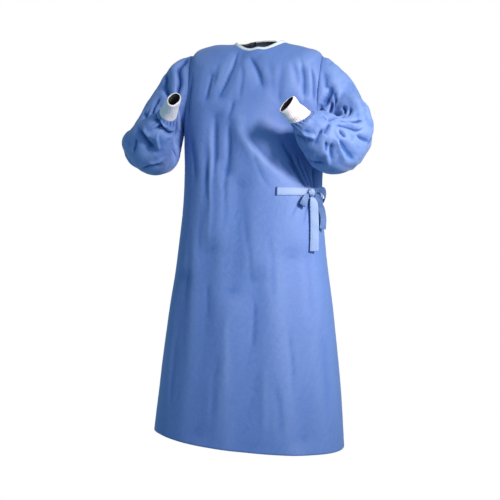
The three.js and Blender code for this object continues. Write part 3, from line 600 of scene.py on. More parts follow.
def side_angle(face, at):
    """The angle of a panel's side edge: the side seam, cut back along the armhole."""
    share = np.clip((at - SHOULDER_END) / (UNDERARM - SHOULDER_END), 0, 1)
    return SIDE - ARMHOLE_CUT[face] * np.sqrt(4 * share * (1 - share))


def body_point(face, angle, at, lift=0.0, fine=True):
    """Places on the body with its folds, moved out from the cloth by lift."""
    angle, at = np.broadcast_arrays(np.asarray(angle, float), np.asarray(at, float))
    plain = plain_body(face, angle, at)
    around = plain_body(face, angle + STEP, at) - plain_body(face, angle - STEP, at)
    down = plain_body(face, angle, at + STEP) - plain_body(face, angle, at - STEP)
    outward = unit(np.cross(around, down)) * face
    fade = smooth(np.cos(np.radians(angle)) / 0.4)
    depth = broad_depth(BROAD_FOLDS[face], plain[..., 0], plain[..., 2]) * fade
    if face == FRONT and fine:
        plain[..., 2] += NECK_RISE * bell(angle, 4, 12) * smooth((0.3 - at) / 0.3)
    if fine:
        depth = depth + fine_depth(face, angle, at, plain)
    return plain + outward * (lift - depth)[..., None]


def fine_depth(face, angle, at, plain):
    """Creases, crumple, seam grooves and the hem's waves, which the solids leave out."""
    strength = bpy.context.scene.gown_sizes.crease_strength
    height = bpy.context.scene.gown_sizes.crumple_height / MM
    drift = np.stack([waves(plain, 130, 11 + i) for i in range(3)], -1) * 2.5
    warped = plain + drift
    fade = smooth(np.cos(np.radians(angle)) / 0.3)
    above_skirt = smooth((plain[..., 2] - SMOOTH_SKIRT) / SMOOTH_REACH)
    taut = mix(SKIRT_CREASES, WAIST_CREASES, above_skirt)
    creases = tuned(CREASES[face], 1, 1, *BODY_CREASING)
    depth = crease_depth(creases, warped[..., 0], warped[..., 2]) * fade * strength * taut
    for size, seed, part, drawn in BODY_CRUMPLE:
        depth = depth + crumple(plain * np.array((1, 1, drawn)), size, seed) * height * part
    depth = depth + waves(plain * np.array((1, 1, 0.12)), 120, 28) * 2.6 * smooth((at - 4.5) / 2.5)
    past_side = (side_angle(face, at) - np.abs(angle)) * 3.4
    edge = bell(past_side, 0, 3.2) * (at < UNDERARM + 0.02)
    side_seam = bell(past_side, 0, 2.4) * (at >= UNDERARM + 0.02)
    pucker = 1 + 0.45 * np.sin(plain[..., 2] * 2 * pi / 11 + waves(plain, 60, 29) * 2)
    depth = depth + (0.15 * edge + 0.5 * side_seam) * pucker
    around_belt = angle if face == FRONT else 2 * SIDE - angle
    beside = smooth((around_belt - 20) / 8) * smooth((154 - around_belt) / 8)
    under = bell(plain[..., 2], BELT_LEVEL, 17, 4) * beside
    neck = smooth(at / 0.25)
    return mix(depth, np.maximum(depth, 0.3), under) * neck


def armhole_place(step):
    """Rows by the armhole follow its round edge. step runs from 0 to 1 down the armhole."""
    return mix(SHOULDER_END, UNDERARM, (1 - np.cos(pi * step)) / 2)


def armhole_edge(side, turn):
    """The armhole's edge, from its top down the front and up the back."""
    step = (turn % 360) / 180
    at = armhole_place(np.where(step < 1, step, 2 - step))
    front = body_point(FRONT, side * side_angle(FRONT, at), at)
    back = body_point(BACK, side * side_angle(BACK, at), at)
    return np.where((step < 1)[..., None], front, back)


def body_rows():
    """Each row's place at the sides and in the middle."""
    step = np.linspace(0, 1, ARMHOLE_ROWS + 1)
    above = np.linspace(0, SHOULDER_END, YOKE_ROWS, endpoint=False)
    below = np.concatenate([
        np.linspace(UNDERARM, UNDERARM + 1, CHEST_ROWS + 1)[1:],
        np.linspace(UNDERARM + 1, HEM, SKIRT_ROWS + 1)[1:],
    ])
    side = np.concatenate([above, armhole_place(step), below])
    middle = np.concatenate([above, mix(SHOULDER_END, UNDERARM, step), below])
    return side[:, None], middle[:, None]


def row_place(face, share, side, middle, straight=False):
    """Angle and place of a share (-1 to 1) of the way from a face's middle to its sides."""
    at = mix(middle, side, share * share)
    pinch = 0 if straight else 1 - side_angle(face, side) / SIDE
    return SIDE * share * (1 - pinch * np.abs(share)), at


def wrap_lift(angle):
    """The outer half of the back rises off the inner half where it wraps over it."""
    return WRAP_LIFT * smooth((angle - WRAP_LIFT_FROM) / (WRAP_LIFT_TO - WRAP_LIFT_FROM))


def front_places(side, middle, columns):
    angle, at = row_place(FRONT, np.linspace(-1, 1, columns)[None], side, middle)
    return body_point(FRONT, angle, at)


def back_places(half, side, middle, columns):
    """The half of the back on one side, which reaches past the middle to its wrap's edge."""
    reach = (WRAP_OVER if half == RIGHT else WRAP_UNDER) / SIDE
    share = np.linspace(half, reach, columns)[None]
    angle, at = row_place(BACK, share, side, middle)
    straight, _ = row_place(BACK, share, side, middle, straight=True)
    angle = np.where(share * half < 0, straight, angle)
    lift = wrap_lift(angle) if half == RIGHT else np.zeros_like(angle)
    places = body_point(BACK, angle, at, lift)
    return places if half == RIGHT else places[:, ::-1]


# Sleeves


def sleeve_section(sections, hand, row, turn):
    """The middle of a sleeve's section and the way from it to its cloth."""
    read = lambda at: read_table(sections, SLEEVE_COLUMNS, at)
    triple = lambda s, end: np.stack([s[end + axis] for axis in "XYZ"], -1)
    centre = lambda s: (triple(s, "inner") + triple(s, "outer")) / 2
    here = read(row)
    ahead = centre(read(np.minimum(row + STEP, len(sections) - 1)))
    behind = centre(read(np.maximum(row - STEP, 0)))
    out = triple(here, "outer") - centre(here)
    forward = unit(np.cross(unit(ahead - behind), out)) * hand
    a = np.radians(turn)
    across = np.where(np.sin(a) > 0, here["fore"], here["aft"]) * np.sin(a)
    return centre(here), out * np.cos(a)[..., None] + forward * across[..., None]


def sleeve_places(side, rows, turns):
    sleeve = SLEEVES[side]
    sections, hand = sleeve["sections"], sleeve["hand"]
    row, turn = np.meshgrid(rows, turns, indexing="ij")
    middle, arm = sleeve_section(sections, hand, row, turn)
    first_middle, first_arm = sleeve_section(sections, hand, np.zeros_like(row), turn)
    pull = 1 - smooth(row / SLEEVE_BLEND_ROWS)
    edge = np.broadcast_to(armhole_edge(side, turns)[None], middle.shape)
    plain = middle + arm + (edge - first_middle - first_arm) * pull[..., None]
    depth = sleeve_depth(side, row, turn, plain)
    return plain - unit(arm) * depth[..., None]


def sleeve_depth(side, row, turn, plain):
    """Creases, crumple, the eased shoulder and the tucks at the cuff."""
    sleeve = SLEEVES[side]
    strength = bpy.context.scene.gown_sizes.crease_strength
    height = bpy.context.scene.gown_sizes.crumple_height / MM
    end = len(sleeve["sections"]) - 2
    seed = sleeve["seed"]
    scaled = tuned(sleeve["creases"], ROW_LENGTH, radians(1) * ROUND_RADIUS, *SLEEVE_CREASING)
    u = row * ROW_LENGTH + waves(plain, 90, seed) * 3.5
    depth = np.zeros_like(row)
    for whole in (-360, 0, 360):
        v = np.radians(turn + whole) * ROUND_RADIUS + waves(plain, 90, seed + 1) * 3.5
        depth += crease_depth(scaled, u, v)
    depth = depth * strength * SLEEVE_CREASE_DEPTH
    for size, own, part in SLEEVE_CRUMPLE:
        depth += crumple(plain, size, seed + own) * height * part
    from_seam = row * ROW_LENGTH
    cap = smooth((np.cos(np.radians(turn)) + 0.5) / 0.6)
    ease = np.sin(np.radians(turn) * 46 + waves(plain, 50, seed + 8) * 2.5)
    depth = depth + ease * cap * 0.4 * bell(from_seam, 7, 7)
    top = np.clip(np.cos(np.radians(turn)), 0, 1)
    depth = depth - 11.5 * top * bell(from_seam, 22, 26)
    depth = depth - sleeve["elbow"] * top**2 * bell(row, 2.8, 0.8)
    below = np.clip(-np.cos(np.radians(turn)), 0, 1) ** 1.5
    below = sleeve["hanging"] * below * smooth((row - 0.4) / 1.3) * smooth((5.2 - row) / 1.4)
    depth = depth - below
    back = (end - row) * ROW_LENGTH
    phase = np.radians(turn) * sleeve["tucks"] + waves(plain, 70, seed + 9) * 1.6
    uneven = 0.65 + 0.35 * waves(plain, 46, seed + 10)
    tuck = (0.5 - 0.5 * np.cos(phase)) ** 1.6 * uneven
    depth = depth * smooth(back / 26 + 0.05)
    depth += (tuck * 4.6 - 1.6) * bell(back, 10, 17) * smooth(back / 5)
    return depth * smooth(from_seam / 9)


def cuff_places(side):
    """Rows of the ribbed cuff, from its seam to its mouth."""
    sleeve = SLEEVES[side]
    sections, hand = sleeve["sections"], sleeve["hand"]
    last = len(sections) - 1
    share = np.linspace(0, 1, CUFF_ROWS)
    share = np.concatenate([share, np.ones(len(ROLLED_EDGE))])
    turns = np.arange(CUFF_RIBS * RIB_COLUMNS) * 360 / (CUFF_RIBS * RIB_COLUMNS)
    row, turn = np.meshgrid(mix(last - 1, last, share), turns, indexing="ij")
    middle, arm = sleeve_section(sections, hand, row, turn)
    along = unit(middle[-1, 0] - middle[0, 0])
    s = share[:, None] + 0 * turn
    wave = (0.5 + 0.5 * np.cos(np.radians(turn) * CUFF_RIBS)) ** 0.8
    rib = bpy.context.scene.gown_sizes.rib_height / MM
    unrolled = np.stack([s * 34, np.cos(np.radians(turn)) * 7, 0 * s], -1)
    swell = (
        rib * wave * smooth((1 - s) / 0.05 + 0.35)
        + sleeve["rim"] * smooth((s - 0.35) / 0.65)
        + 0.7 * bell(s, 0.94, 0.05)
        + 1.4 * waves(unrolled, 15, sleeve["seed"] + 13)
        - sleeve["waist"] * bell(s, 0.55, 0.22)
        + sleeve["foot"] * bell(s, 0.1, 0.12)
        + waves(middle + arm, 26, sleeve["seed"] + 12) * 0.35
    )
    swell = swell * smooth(s / 0.04)
    places = middle + arm + unit(arm) * swell[..., None]
    places[0] += along * SEAM_GAP
    for over, (inwards, onwards) in enumerate(ROLLED_EDGE):
        places[CUFF_ROWS + over] -= unit(arm[-1]) * inwards
        places[CUFF_ROWS + over] += along * onwards
    return places


# Belt and bow


def place_at_level(face, angle, level, halvings=24):
    """The place along the body, below the arms, that lies at a level."""
    high, low = np.full(np.shape(angle), UNDERARM), np.full(np.shape(angle), HEM)
    for _ in range(halvings):
        middle = (high + low) / 2
        above = plain_body(face, angle, middle)[..., 2] > level
        high, low = np.where(above, middle, high), np.where(above, low, middle)
    return (high + low) / 2


def on_body(face, angle, level, lift):
    angle, level = np.broadcast_arrays(np.asarray(angle, float), np.asarray(level, float))
    return body_point(face, angle, place_at_level(face, angle, level), lift, fine=False)


def tape_profile(across):
    """Height of a folded tape over its width (-1 to 1): full, with its stitched edges drawn in."""
    stitch = bell(np.abs(across), 0.8, 0.09)
    edge = smooth((np.abs(across) - 0.9) / 0.1)
    return 0.35 * (1 - across**2) - 0.45 * stitch - 0.35 * edge


def belt_places(from_angle, to_angle, steps):
    """A strip along the belt's level, on round the side to the back when past it."""
    angles = np.linspace(from_angle, to_angle, steps)[:, None]
    flat = 0 * angles[:, 0]
    uneven = waves(np.stack([angles[:, 0] * 3, flat, flat], -1), 60, 51)[:, None]
    level = BELT_LEVEL - TAPE_ACROSS * BELT_WIDTH / 2 + uneven * 0.6
    lift = BELT_LIFT + tape_profile(TAPE_ACROSS) + uneven * 0.15
    level, lift = np.broadcast_arrays(level, lift)
    angles = np.broadcast_to(angles, level.shape)
    front = on_body(FRONT, angles, level, lift)
    back = on_body(BACK, 2 * SIDE - angles, level, lift)
    return np.where((angles > SIDE)[..., None], back, front)


def tape_places(stations, steps, seed, curl):
    """A tape of the bow through the places of its table."""
    across = TAPE_ACROSS
    s = read_table(stations, TAPE_COLUMNS, np.linspace(0, len(stations) - 1, steps))
    middle = on_body(FRONT, s["angle"], s["level"], s["lift"])
    beside = unit(on_body(FRONT, s["angle"] + 1, s["level"], s["lift"]) - middle)
    outward = unit(on_body(FRONT, s["angle"], s["level"], s["lift"] + 1) - middle)
    up = np.cross(beside, outward)
    up = up * np.where(up[:, 2:] < 0, -1, 1)
    turn, lean = np.radians(s["turn"])[:, None], np.radians(s["lean"])[:, None]
    way = (
        beside * np.cos(turn) * np.cos(lean)
        + up * np.sin(turn) * np.cos(lean)
        + outward * np.sin(lean)
    )
    along = unit(np.gradient(middle, axis=0))
    off = unit(np.cross(way, along))
    half = s["width"][:, None] / 2
    pinched = 1 - smooth((s["width"][:, None] - 8) / 10)
    share = np.linspace(0, 1, steps)[:, None]
    fold = np.cos(across * 2.5 * pi) * 1.1 * pinched
    twist = waves(middle, 34, seed)[:, None] * 0.9 * across
    twist = twist * smooth(share / 0.2) * smooth((1 - share) / 0.1 + 0.2)
    height = tape_profile(across) + fold + twist + curl * across**2
    return (
        middle[:, None]
        + way[:, None] * (across * half)[..., None]
        - off[:, None] * height[..., None]
    )


def knot_frame():
    middle = on_body(FRONT, KNOT["angle"], KNOT["level"], KNOT["lift"])
    beside = unit(on_body(FRONT, KNOT["angle"] + 1, KNOT["level"], KNOT["lift"]) - middle)
    up = np.array((0.0, 0.0, 1.0))
    return middle, beside, unit(np.cross(up, beside)), up


def knot_places(rows=40, columns=72):
    """A knot: one turn of tape drawn tight over the belt, with the folds that this makes."""
    middle, beside, outward, up = knot_frame()
    pole = np.linspace(0, pi, rows)[:, None]
    round_it = np.linspace(0, 2 * pi, columns, endpoint=False)[None]
    x = np.sin(pole) * np.cos(round_it)
    y = np.sin(pole) * np.sin(round_it)
    z = np.cos(pole) + 0 * round_it
    slant = x * 0.94 + z * 0.34
    band = bell(slant, 0, 0.46, 6)
    groove = bell(np.abs(slant), 0.5, 0.07)
    pleats = 0.5 + 0.5 * np.cos(slant * 21 + 0.8 * np.sin(z * 3))
    sides = 0.5 + 0.5 * np.cos(z * 15 + x * 4)
    size = 0.9 + 0.09 * band - 0.13 * groove - 0.05 * pleats * band - 0.06 * sides * (1 - band)
    return (
        middle
        + beside * (x * size * KNOT["width"] / 2)[..., None]
        + outward * (y * size * KNOT["depth"] / 2)[..., None]
        + up * (z * size * KNOT["height"] / 2)[..., None]
    )


# Meshes


def arc_lengths(places, axis):
    steps = np.linalg.norm(np.diff(places, axis=axis), axis=-1)
    start = np.zeros_like(steps[:1] if axis == 0 else steps[:, :1])
    return np.cumsum(np.concatenate([start, steps], axis=axis), axis=axis)


def corners(row, column, right, columns):
    here, below = row * columns, (row + 1) * columns
    return np.stack([here + column, here + right, below + right, below + column], -1).reshape(-1, 4)


def grid_faces(rows, columns, closed, facing):
    """The faces of a grid, and their corners in its map, which doesn't close round a tube."""
    last = columns if closed else columns - 1
    row, column = np.meshgrid(np.arange(rows - 1), np.arange(last), indexing="ij")
    quads = corners(row, column, (column + 1) % columns, columns)
    spots = corners(row, column, column + 1, last + 1)
    if facing == INWARD:
        quads, spots = quads[:, ::-1], spots[:, ::-1]
    return quads, spots


def smooth_mesh(name, points, faces):
    mesh = bpy.data.meshes.new(name)
    mesh.from_pydata(points, [], faces)
    mesh.polygons.foreach_set("use_smooth", np.ones(len(mesh.polygons), bool))
    mesh.update()
    return mesh


def cloth_mesh(name, places, facing=OUTWARD, closed=False, painted_light=None):
    """A mesh of a grid of places in millimetres, with a map in metres along the cloth."""
    rows, columns = places.shape[:2]
    quads, spots = grid_faces(rows, columns, closed, facing)
    mesh = smooth_mesh(name, (places.reshape(-1, 3) * MM).tolist(), quads.tolist())
    wide = np.concatenate([places, places[:, :1]], axis=1) if closed else places
    u = arc_lengths(wide, 1)
    u = u - u[:, wide.shape[1] // 2][:, None]
    v = arc_lengths(wide, 0).mean(axis=1)[:, None] + 0 * u
    uv = np.stack([u, v], -1).reshape(-1, 2) * MM
    layer = mesh.uv_layers.new(name="cloth")
    layer.data.foreach_set("uv", uv[spots.reshape(-1)].astype(np.float32).reshape(-1))
    # Share of painted shade (above 0) and of painted highlight (below 0) at each place, read by the
    # finish
    crease = mesh.attributes.new("crease", "FLOAT", "POINT")
    painted_light = np.zeros((rows, columns)) if painted_light is None else painted_light
    crease.data.foreach_set("value", painted_light.reshape(-1).astype(np.float32))
    return mesh


# Painted light: the result sets the share of painted shade, and below 0 of painted highlight
def painted_light_mask(places, facing, closed):
    """How far each place lies behind the cloth round it, near by and further off."""
    near = hollow_within(places, facing, closed, 2) / 0.9
    far = hollow_within(places, facing, closed, 6) / 5
    return np.clip(0.55 * near + 0.65 * far, -1, 1)


def hollow_within(places, facing, closed, reach):
    """How far each place lies behind the four that are this many rows and columns away."""
    pad = "wrap" if closed else "edge"
    padded = np.pad(places, ((reach, reach), (0, 0), (0, 0)), "edge")
    padded = np.pad(padded, ((0, 0), (reach, reach), (0, 0)), pad)
    rows, columns = places.shape[:2]

    def moved(down, right):
        return padded[reach + down:reach + down + rows, reach + right:reach + right + columns]

    around = (moved(-reach, 0) + moved(reach, 0) + moved(0, -reach) + moved(0, reach)) / 4
    right = moved(0, 1) - moved(0, -1)
    down = moved(1, 0) - moved(-1, 0)
    outward = unit(np.cross(right, down) + 1e-9) * facing
    return ((around - places) * outward).sum(-1)


def add_piece(name, mesh, finish, slot, *nodes):
    """Puts a mesh into the scene as a piece that moves with the gown."""
    piece = bpy.data.objects.new(name, mesh)
    bpy.context.scene.collection.objects.link(piece)
    mesh.materials.append(finish)
    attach(piece, "root")
    if nodes:
        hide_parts(*nodes)
    return piece


def give_wall(piece, thickness, inside=None):
    """Gives a sheet its thickness inwards, with a finish of its own on the inner side."""
    wall = piece.modifiers.new("Wall", "SOLIDIFY")
    # The inner side's finish, when given, is painted shade
    if inside:
        piece.data.materials.append(inside)
        wall.material_offset = 1
    wall.thickness = thickness
    wall.offset = -1
    wall.use_quality_normals = True
    return piece


def drawn_back(places, top=False, bottom=False, left=False, right=False):
    """The same places with seamed edges drawn back, so that pieces don't touch there."""
    moved = places.copy()
    for wanted, edge, inner in (
        (top, np.s_[0], np.s_[1]),
        (bottom, np.s_[-1], np.s_[-2]),
        (left, np.s_[:, 0], np.s_[:, 1]),
        (right, np.s_[:, -1], np.s_[:, -2]),
    ):
        if wanted:
            moved[edge] += unit(places[inner] - places[edge]) * SEAM_SETBACK
    return moved


def tube_mesh(name, path, radius, sides=6):
    """A round thread along a path."""
    path = np.asarray(path, float)
    along = unit(np.gradient(path, axis=0))
    aside = np.cross(along, np.array((0.0, 0.0, 1.0)))
    aside = np.where(np.linalg.norm(aside, axis=1)[:, None] < 0.05, (1.0, 0.0, 0.0), aside)
    aside = unit(aside)
    other = np.cross(along, aside)
    turn = np.linspace(0, 2 * pi, sides, endpoint=False)
    turn = turn[None, :, None]
    ring = aside[:, None] * np.cos(turn) + other[:, None] * np.sin(turn)
    size = np.full(len(path), radius)
    size[0] = size[-1] = radius * 0.5
    places = path[:, None] + ring * size[:, None, None]
    mesh = cloth_mesh(name, places, OUTWARD, closed=True)
    close_ends(mesh, len(path), sides)
    return mesh


def close_ends(mesh, rows, columns, both=True):
    """Closes the first end of a tube, or both, and makes its faces point outwards."""
    form = bmesh.new()
    form.from_mesh(mesh)
    form.verts.ensure_lookup_table()
    for start in (0, (rows - 1) * columns) if both else (0,):
        form.faces.new([form.verts[start + k] for k in range(columns)])
    bmesh.ops.recalc_face_normals(form, faces=form.faces)
    for face in form.faces:
        face.smooth = True
    form.to_mesh(mesh)
    form.free()


def stitch_mesh(name, path, outward, length, gap, radius):
    """A row of short stitches along a path, each a small thread that dips into the cloth."""
    path, outward = np.asarray(path, float), np.asarray(outward, float)
    run = np.concatenate([[0], np.cumsum(np.linalg.norm(np.diff(path, axis=0), axis=1))])
    read = lambda at, values: np.stack([np.interp(at, run, values[:, i]) for i in range(3)], -1)
    starts = np.arange(gap, run[-1] - length, length + gap)
    share = np.array((0, 0.3, 0.7, 1))
    at = starts[:, None] + share[None] * length
    middle, off = read(at, path), unit(read(at, outward))
    middle = middle + off * (np.array((-0.5, 0.5, 0.5, -0.5)) * radius)[None, :, None]
    along = unit(read(at + 0.05, path) - read(at - 0.05, path))
    aside = unit(np.cross(along, off))
    turn = np.linspace(0, 2 * pi, 5, endpoint=False)
    size = np.array((0.5, 1, 1, 0.5)) * radius
    ring = (
        aside[:, :, None] * np.cos(turn)[None, None, :, None]
        + off[:, :, None] * np.sin(turn)[None, None, :, None]
    ) * size[None, :, None, None]
    places = middle[:, :, None] + ring
    quads, _ = grid_faces(4, 5, True, OUTWARD)
    ends = [(4, 3, 2, 1, 0), (15, 16, 17, 18, 19)]
    one = [tuple(q) for q in quads.tolist()] + ends
    faces = [tuple(20 * i + n for n in face) for i in range(len(starts)) for face in one]
    return smooth_mesh(name, (places.reshape(-1, 3) * MM).tolist(), faces)


# Materials

# Millimetres between the bonded dots, the knit's stitches and the binding's twill lines
DOT_PITCH = 1.7
STITCH_WIDTH, STITCH_HEIGHT = 1.5, 1.25
TWILL_PITCH = 0.8


class Amount:
    """A number in a material. An expression on amounts adds the Math nodes for it."""

    def __init__(self, finish, node, output=0):
        self.finish, self.node, self.socket = finish, node, node.outputs[output]

    def other(self, output):
        return Amount(self.finish, self.node, output)

    def _with(self, operation, first, second=None):
        inputs = {0: first} if second is None else {0: first, 1: second}
        return self.finish.node("ShaderNodeMath", {"operation": operation}, inputs)

    def __add__(self, value):
        return self._with("ADD", self, value)

    def __radd__(self, value):
        return self._with("ADD", value, self)

    def __sub__(self, value):
        return self._with("SUBTRACT", self, value)

    def __rsub__(self, value):
        return self._with("SUBTRACT", value, self)

    def __mul__(self, value):
        return self._with("MULTIPLY", self, value)

    def __truediv__(self, value):
        return self._with("DIVIDE", self, value)

    def __pow__(self, value):
        return self._with("POWER", self, value)

    def wave(self):
        """Sine of the amount, moved to 0 to 1."""
        return self._with("SINE", self) * 0.5 + 0.5

    def saw(self):
        """The amount's part after the point."""
        return self._with("FRACT", self)

    def size(self):
        return self._with("ABSOLUTE", self)

    def clip(self, low=0.0, high=1.0):
        return self._with("MINIMUM", self._with("MAXIMUM", self, low), high)


class Finish:
    """A material under construction."""

    def __init__(self, name):
        self.material = bpy.data.materials.new(name)
        self.material.use_nodes = True
        self.tree = self.material.node_tree
        self.shader = next(n for n in self.tree.nodes if n.type == "BSDF_PRINCIPLED")

    def node(self, kind, settings=None, inputs=None, output=0):
        made = self.tree.nodes.new(kind)
        for name, value in (settings or {}).items():
            setattr(made, name, value)
        for key, value in (inputs or {}).items():
            if isinstance(value, Amount):
                self.tree.links.new(value.socket, made.inputs[key])
            else:
                made.inputs[key].default_value = value
        return Amount(self, made, output)

    def set(self, socket, value):
        """Gives the shader a value, or what changes over the surface."""
        if isinstance(value, Amount):
            self.tree.links.new(value.socket, self.shader.inputs[socket])
        else:
            self.shader.inputs[socket].default_value = value

    def cloth_map(self):
        """The piece's own map in millimetres: the whole vector, and its two amounts."""
        uv = self.node("ShaderNodeUVMap", {"uv_map": "cloth"})
        grown = self.node("ShaderNodeVectorMath", {"operation": "SCALE"}, {0: uv, 3: 1000.0})
        apart = self.node("ShaderNodeSeparateXYZ", None, {0: grown})
        return grown, apart, apart.other(1)

    def noise(self, vector, size, detail=2.0, roughness=0.5, stretch=None):
        """Noise of about this size in the vector's unit, from 0 to 1."""
        if stretch:
            vector = self.node("ShaderNodeMapping", None, {0: vector, 3: stretch})
        inputs = {"Vector": vector, "Scale": 1 / size, "Detail": detail, "Roughness": roughness}
        return self.node("ShaderNodeTexNoise", None, inputs)

    def shaded(self, colour, shade):
        """A colour that grows lighter and darker with the shade."""
        return self.tint((*colour, 1), shade, 1.0, "MULTIPLY")

    def tint(self, first, second, share, blend="MIX"):
        """One colour mixed into another."""
        settings = {"data_type": "RGBA", "blend_type": blend}
        return self.node("ShaderNodeMix", settings, {0: share, 6: first, 7: second}, 2)

    def bump(self, height, distance, strength=1.0, under=None):
        inputs = {"Height": height, "Distance": distance * MM, "Strength": strength}
        if under:
            inputs["Normal"] = under
        return self.node("ShaderNodeBump", None, inputs)


# Besides its own texture, the finish carries painted shade where the cloth dips in and a painted
# highlight on ridges
def nonwoven(name, colour, shade_colour, highlight_colour, sheen):
    """Pressed nonwoven cloth: fine fibres, a grid of small bonded dots and slight mottling."""
    f = Finish(name)
    place, u, v = f.cloth_map()
    turns = 2 * pi / DOT_PITCH
    dots = (u * turns).wave() * (v * turns).wave()
    fibres = f.noise(place, 0.9, 3, 0.6, (1, 0.35, 1))
    strands = f.noise(place, 2.2, 3, 0.65, (0.4, 1, 1))
    mottle = f.noise(place, 7, 3, 0.55)
    cloud = f.noise(place, 85, 2, 0.5)
    shade = 1 + (fibres - 0.5) * 0.20 + (strands - 0.5) * 0.16 + (mottle - 0.5) * 0.13
    shade = shade + (cloud - 0.5) * 0.10 - dots * 0.05
    # Painted light from the mesh's layer: above 0 a deeper blue is mixed in as painted shade, below
    # 0 a paler blue as painted highlight
    crease = f.node("ShaderNodeAttribute", {"attribute_name": "crease"}, None, 2)
    plain = f.shaded(colour, shade)
    ridge_highlighted = f.tint(plain, (*highlight_colour, 1), (0 - crease * 0.55).clip(0, 0.4))
    f.set("Base Color", f.tint(ridge_highlighted, (*shade_colour, 1), (crease * 1.15 - 0.12).clip(0, 0.85)))
    f.set("Roughness", 0.62 + (mottle - 0.5) * 0.12 - dots * 0.05)
    f.set("Sheen Weight", sheen)
    f.set("Sheen Roughness", 0.42)
    f.set("IOR", 1.45)
    wrinkles = f.noise(place, 11, 3, 0.5)
    coarse = f.bump(wrinkles, 0.75)
    f.set("Normal", f.bump(fibres * 0.5 + strands * 0.3 - dots * 0.6, 0.10, 1.0, coarse))
    return f.material


@cache
def gown_cloth():
    colours = bpy.context.scene.gown_colours
    # The two further colours are the painted shade in dips and the painted highlight on ridges
    return nonwoven("gown_cloth", colours.cloth, colours.cloth_fold_shade, colours.cloth_ridge_highlight, 0.22)


@cache
def cloth_inside_shade():
    """The cloth's inner side, painted a deeper blue as shade; the cloth itself is the same blue
    inside.
    """
    colour = bpy.context.scene.gown_colours.cloth_inside_shade
    return nonwoven("gown_cloth_inside", colour, colour, colour, 0.0)


@cache
def belt_cloth():
    colours = bpy.context.scene.gown_colours
    # Its deeper blue is painted shade on the bow's tapes
    return nonwoven("belt_cloth", colours.belt, colours.belt_painted_shade, colours.belt, 0.2)


def rib_knit(name, colour):
    """Rib knit: rows of small V stitches along each rib."""
    f = Finish(name)
    place, u, v = f.cloth_map()
    column = ((u * (1 / STITCH_WIDTH)).saw() - 0.5).size()
    rows = ((v * (1 / STITCH_HEIGHT) + column * 0.9) * (2 * pi)).wave()
    wale = (column * 2) ** 2
    stitches = rows * 0.6 + (1 - wale) * 0.6
    fuzz = f.noise(place, 0.7, 3, 0.7)
    mottle = f.noise(place, 9, 2, 0.5)
    shade = 0.93 + stitches * 0.06 + (fuzz - 0.5) * 0.07 + (mottle - 0.5) * 0.06
    f.set("Base Color", f.shaded(colour, shade))
    f.set("Roughness", 0.86 + (fuzz - 0.5) * 0.1)
    f.set("Sheen Weight", 0.3)
    f.set("Sheen Roughness", 0.5)
    f.set("Normal", f.bump(stitches * 0.8 + fuzz * 0.5, 0.28))
    return f.material


@cache
def cuff_knit():
    return rib_knit("cuff_knit", bpy.context.scene.gown_colours.cuffs)


# Painted shade: the near black inner side of the cuffs and of the neck binding
@cache
def knit_inside_shade():
    return rib_knit("cuff_knit_inside", bpy.context.scene.gown_colours.cuffs_inside_shade)


@cache
def neck_tape():
    """Binding tape: a fine twill with a slightly uneven, folded look."""
    f = Finish("neck_tape")
    place, u, v = f.cloth_map()
    colour = bpy.context.scene.gown_colours.binding
    twill = ((u + v) * (2 * pi / TWILL_PITCH)).wave()
    fuzz = f.noise(place, 0.8, 3, 0.6)
    folds = f.noise(place, 6, 2, 0.5, (1, 0.3, 1))
    shade = 0.93 + twill * 0.04 + (fuzz - 0.5) * 0.08 + (folds - 0.5) * 0.08
    f.set("Base Color", f.shaded(colour, shade))
    f.set("Roughness", 0.78 + (fuzz - 0.5) * 0.1)
    f.set("Sheen Weight", 0.15)
    under = f.bump(folds, 0.5)
    f.set("Normal", f.bump(twill * 0.6 + fuzz * 0.5, 0.12, 1.0, under))
    return f.material


def thread_finish(name, colour):
    """Spun thread: fine strands that wind along it."""
    f = Finish(name)
    at = f.node("ShaderNodeTexCoord", None, None, 3)
    twist = f.noise(at, 0.0006, 2, 0.5, (1, 1, 2.4))
    shade = 0.82 + twist * 0.36
    f.set("Base Color", f.shaded(colour, shade))
    f.set("Roughness", 0.62 + (twist - 0.5) * 0.16)
    f.set("Sheen Weight", 0.25)
    f.set("Normal", f.bump(twist, 0.12))
    return f.material


@cache
def tack_thread():
    return thread_finish("tack_thread", bpy.context.scene.gown_colours.tack)


@cache
def belt_thread():
    return thread_finish("belt_thread", bpy.context.scene.gown_colours.belt)


@cache
def neck_thread():
    return thread_finish("neck_thread", bpy.context.scene.gown_colours.binding)


def floor_finish(colour, reach):
    """Pale floor that fades out at its edge, so that it has no visible end."""
    f = Finish("pale_floor")
    at = f.node("ShaderNodeTexCoord", None, None, 3)
    away = f.node("ShaderNodeVectorMath", {"operation": "LENGTH"}, {0: at}, 1)
    grain = f.noise(at, 0.02, 2, 0.5)
    f.set("Base Color", f.shaded(colour, 0.985 + grain * 0.03))
    f.set("Roughness", 0.9)
    clear = f.node("ShaderNodeBsdfTransparent")
    fade = ((away / reach - 0.16) / 0.4).clip() ** 0.7
    shown = Amount(f, f.shader)
    both = f.node("ShaderNodeMixShader", None, {0: fade, 1: shown, 2: clear})
    output = next(n for n in f.tree.nodes if n.type == "OUTPUT_MATERIAL")
    f.tree.links.new(both.socket, output.inputs["Surface"])
    return f.material


# What a user can change. The materials above are each made when a piece first asks for them.


def length(name, text, default, low, high):
    return FloatProperty(
        name=name, description=text, default=default, min=low, max=high, precision=4, unit="LENGTH"
    )


def colour(name, text, *default):
    return FloatVectorProperty(
        name=name, description=text, default=default, min=0, max=1, subtype="COLOR"
    )


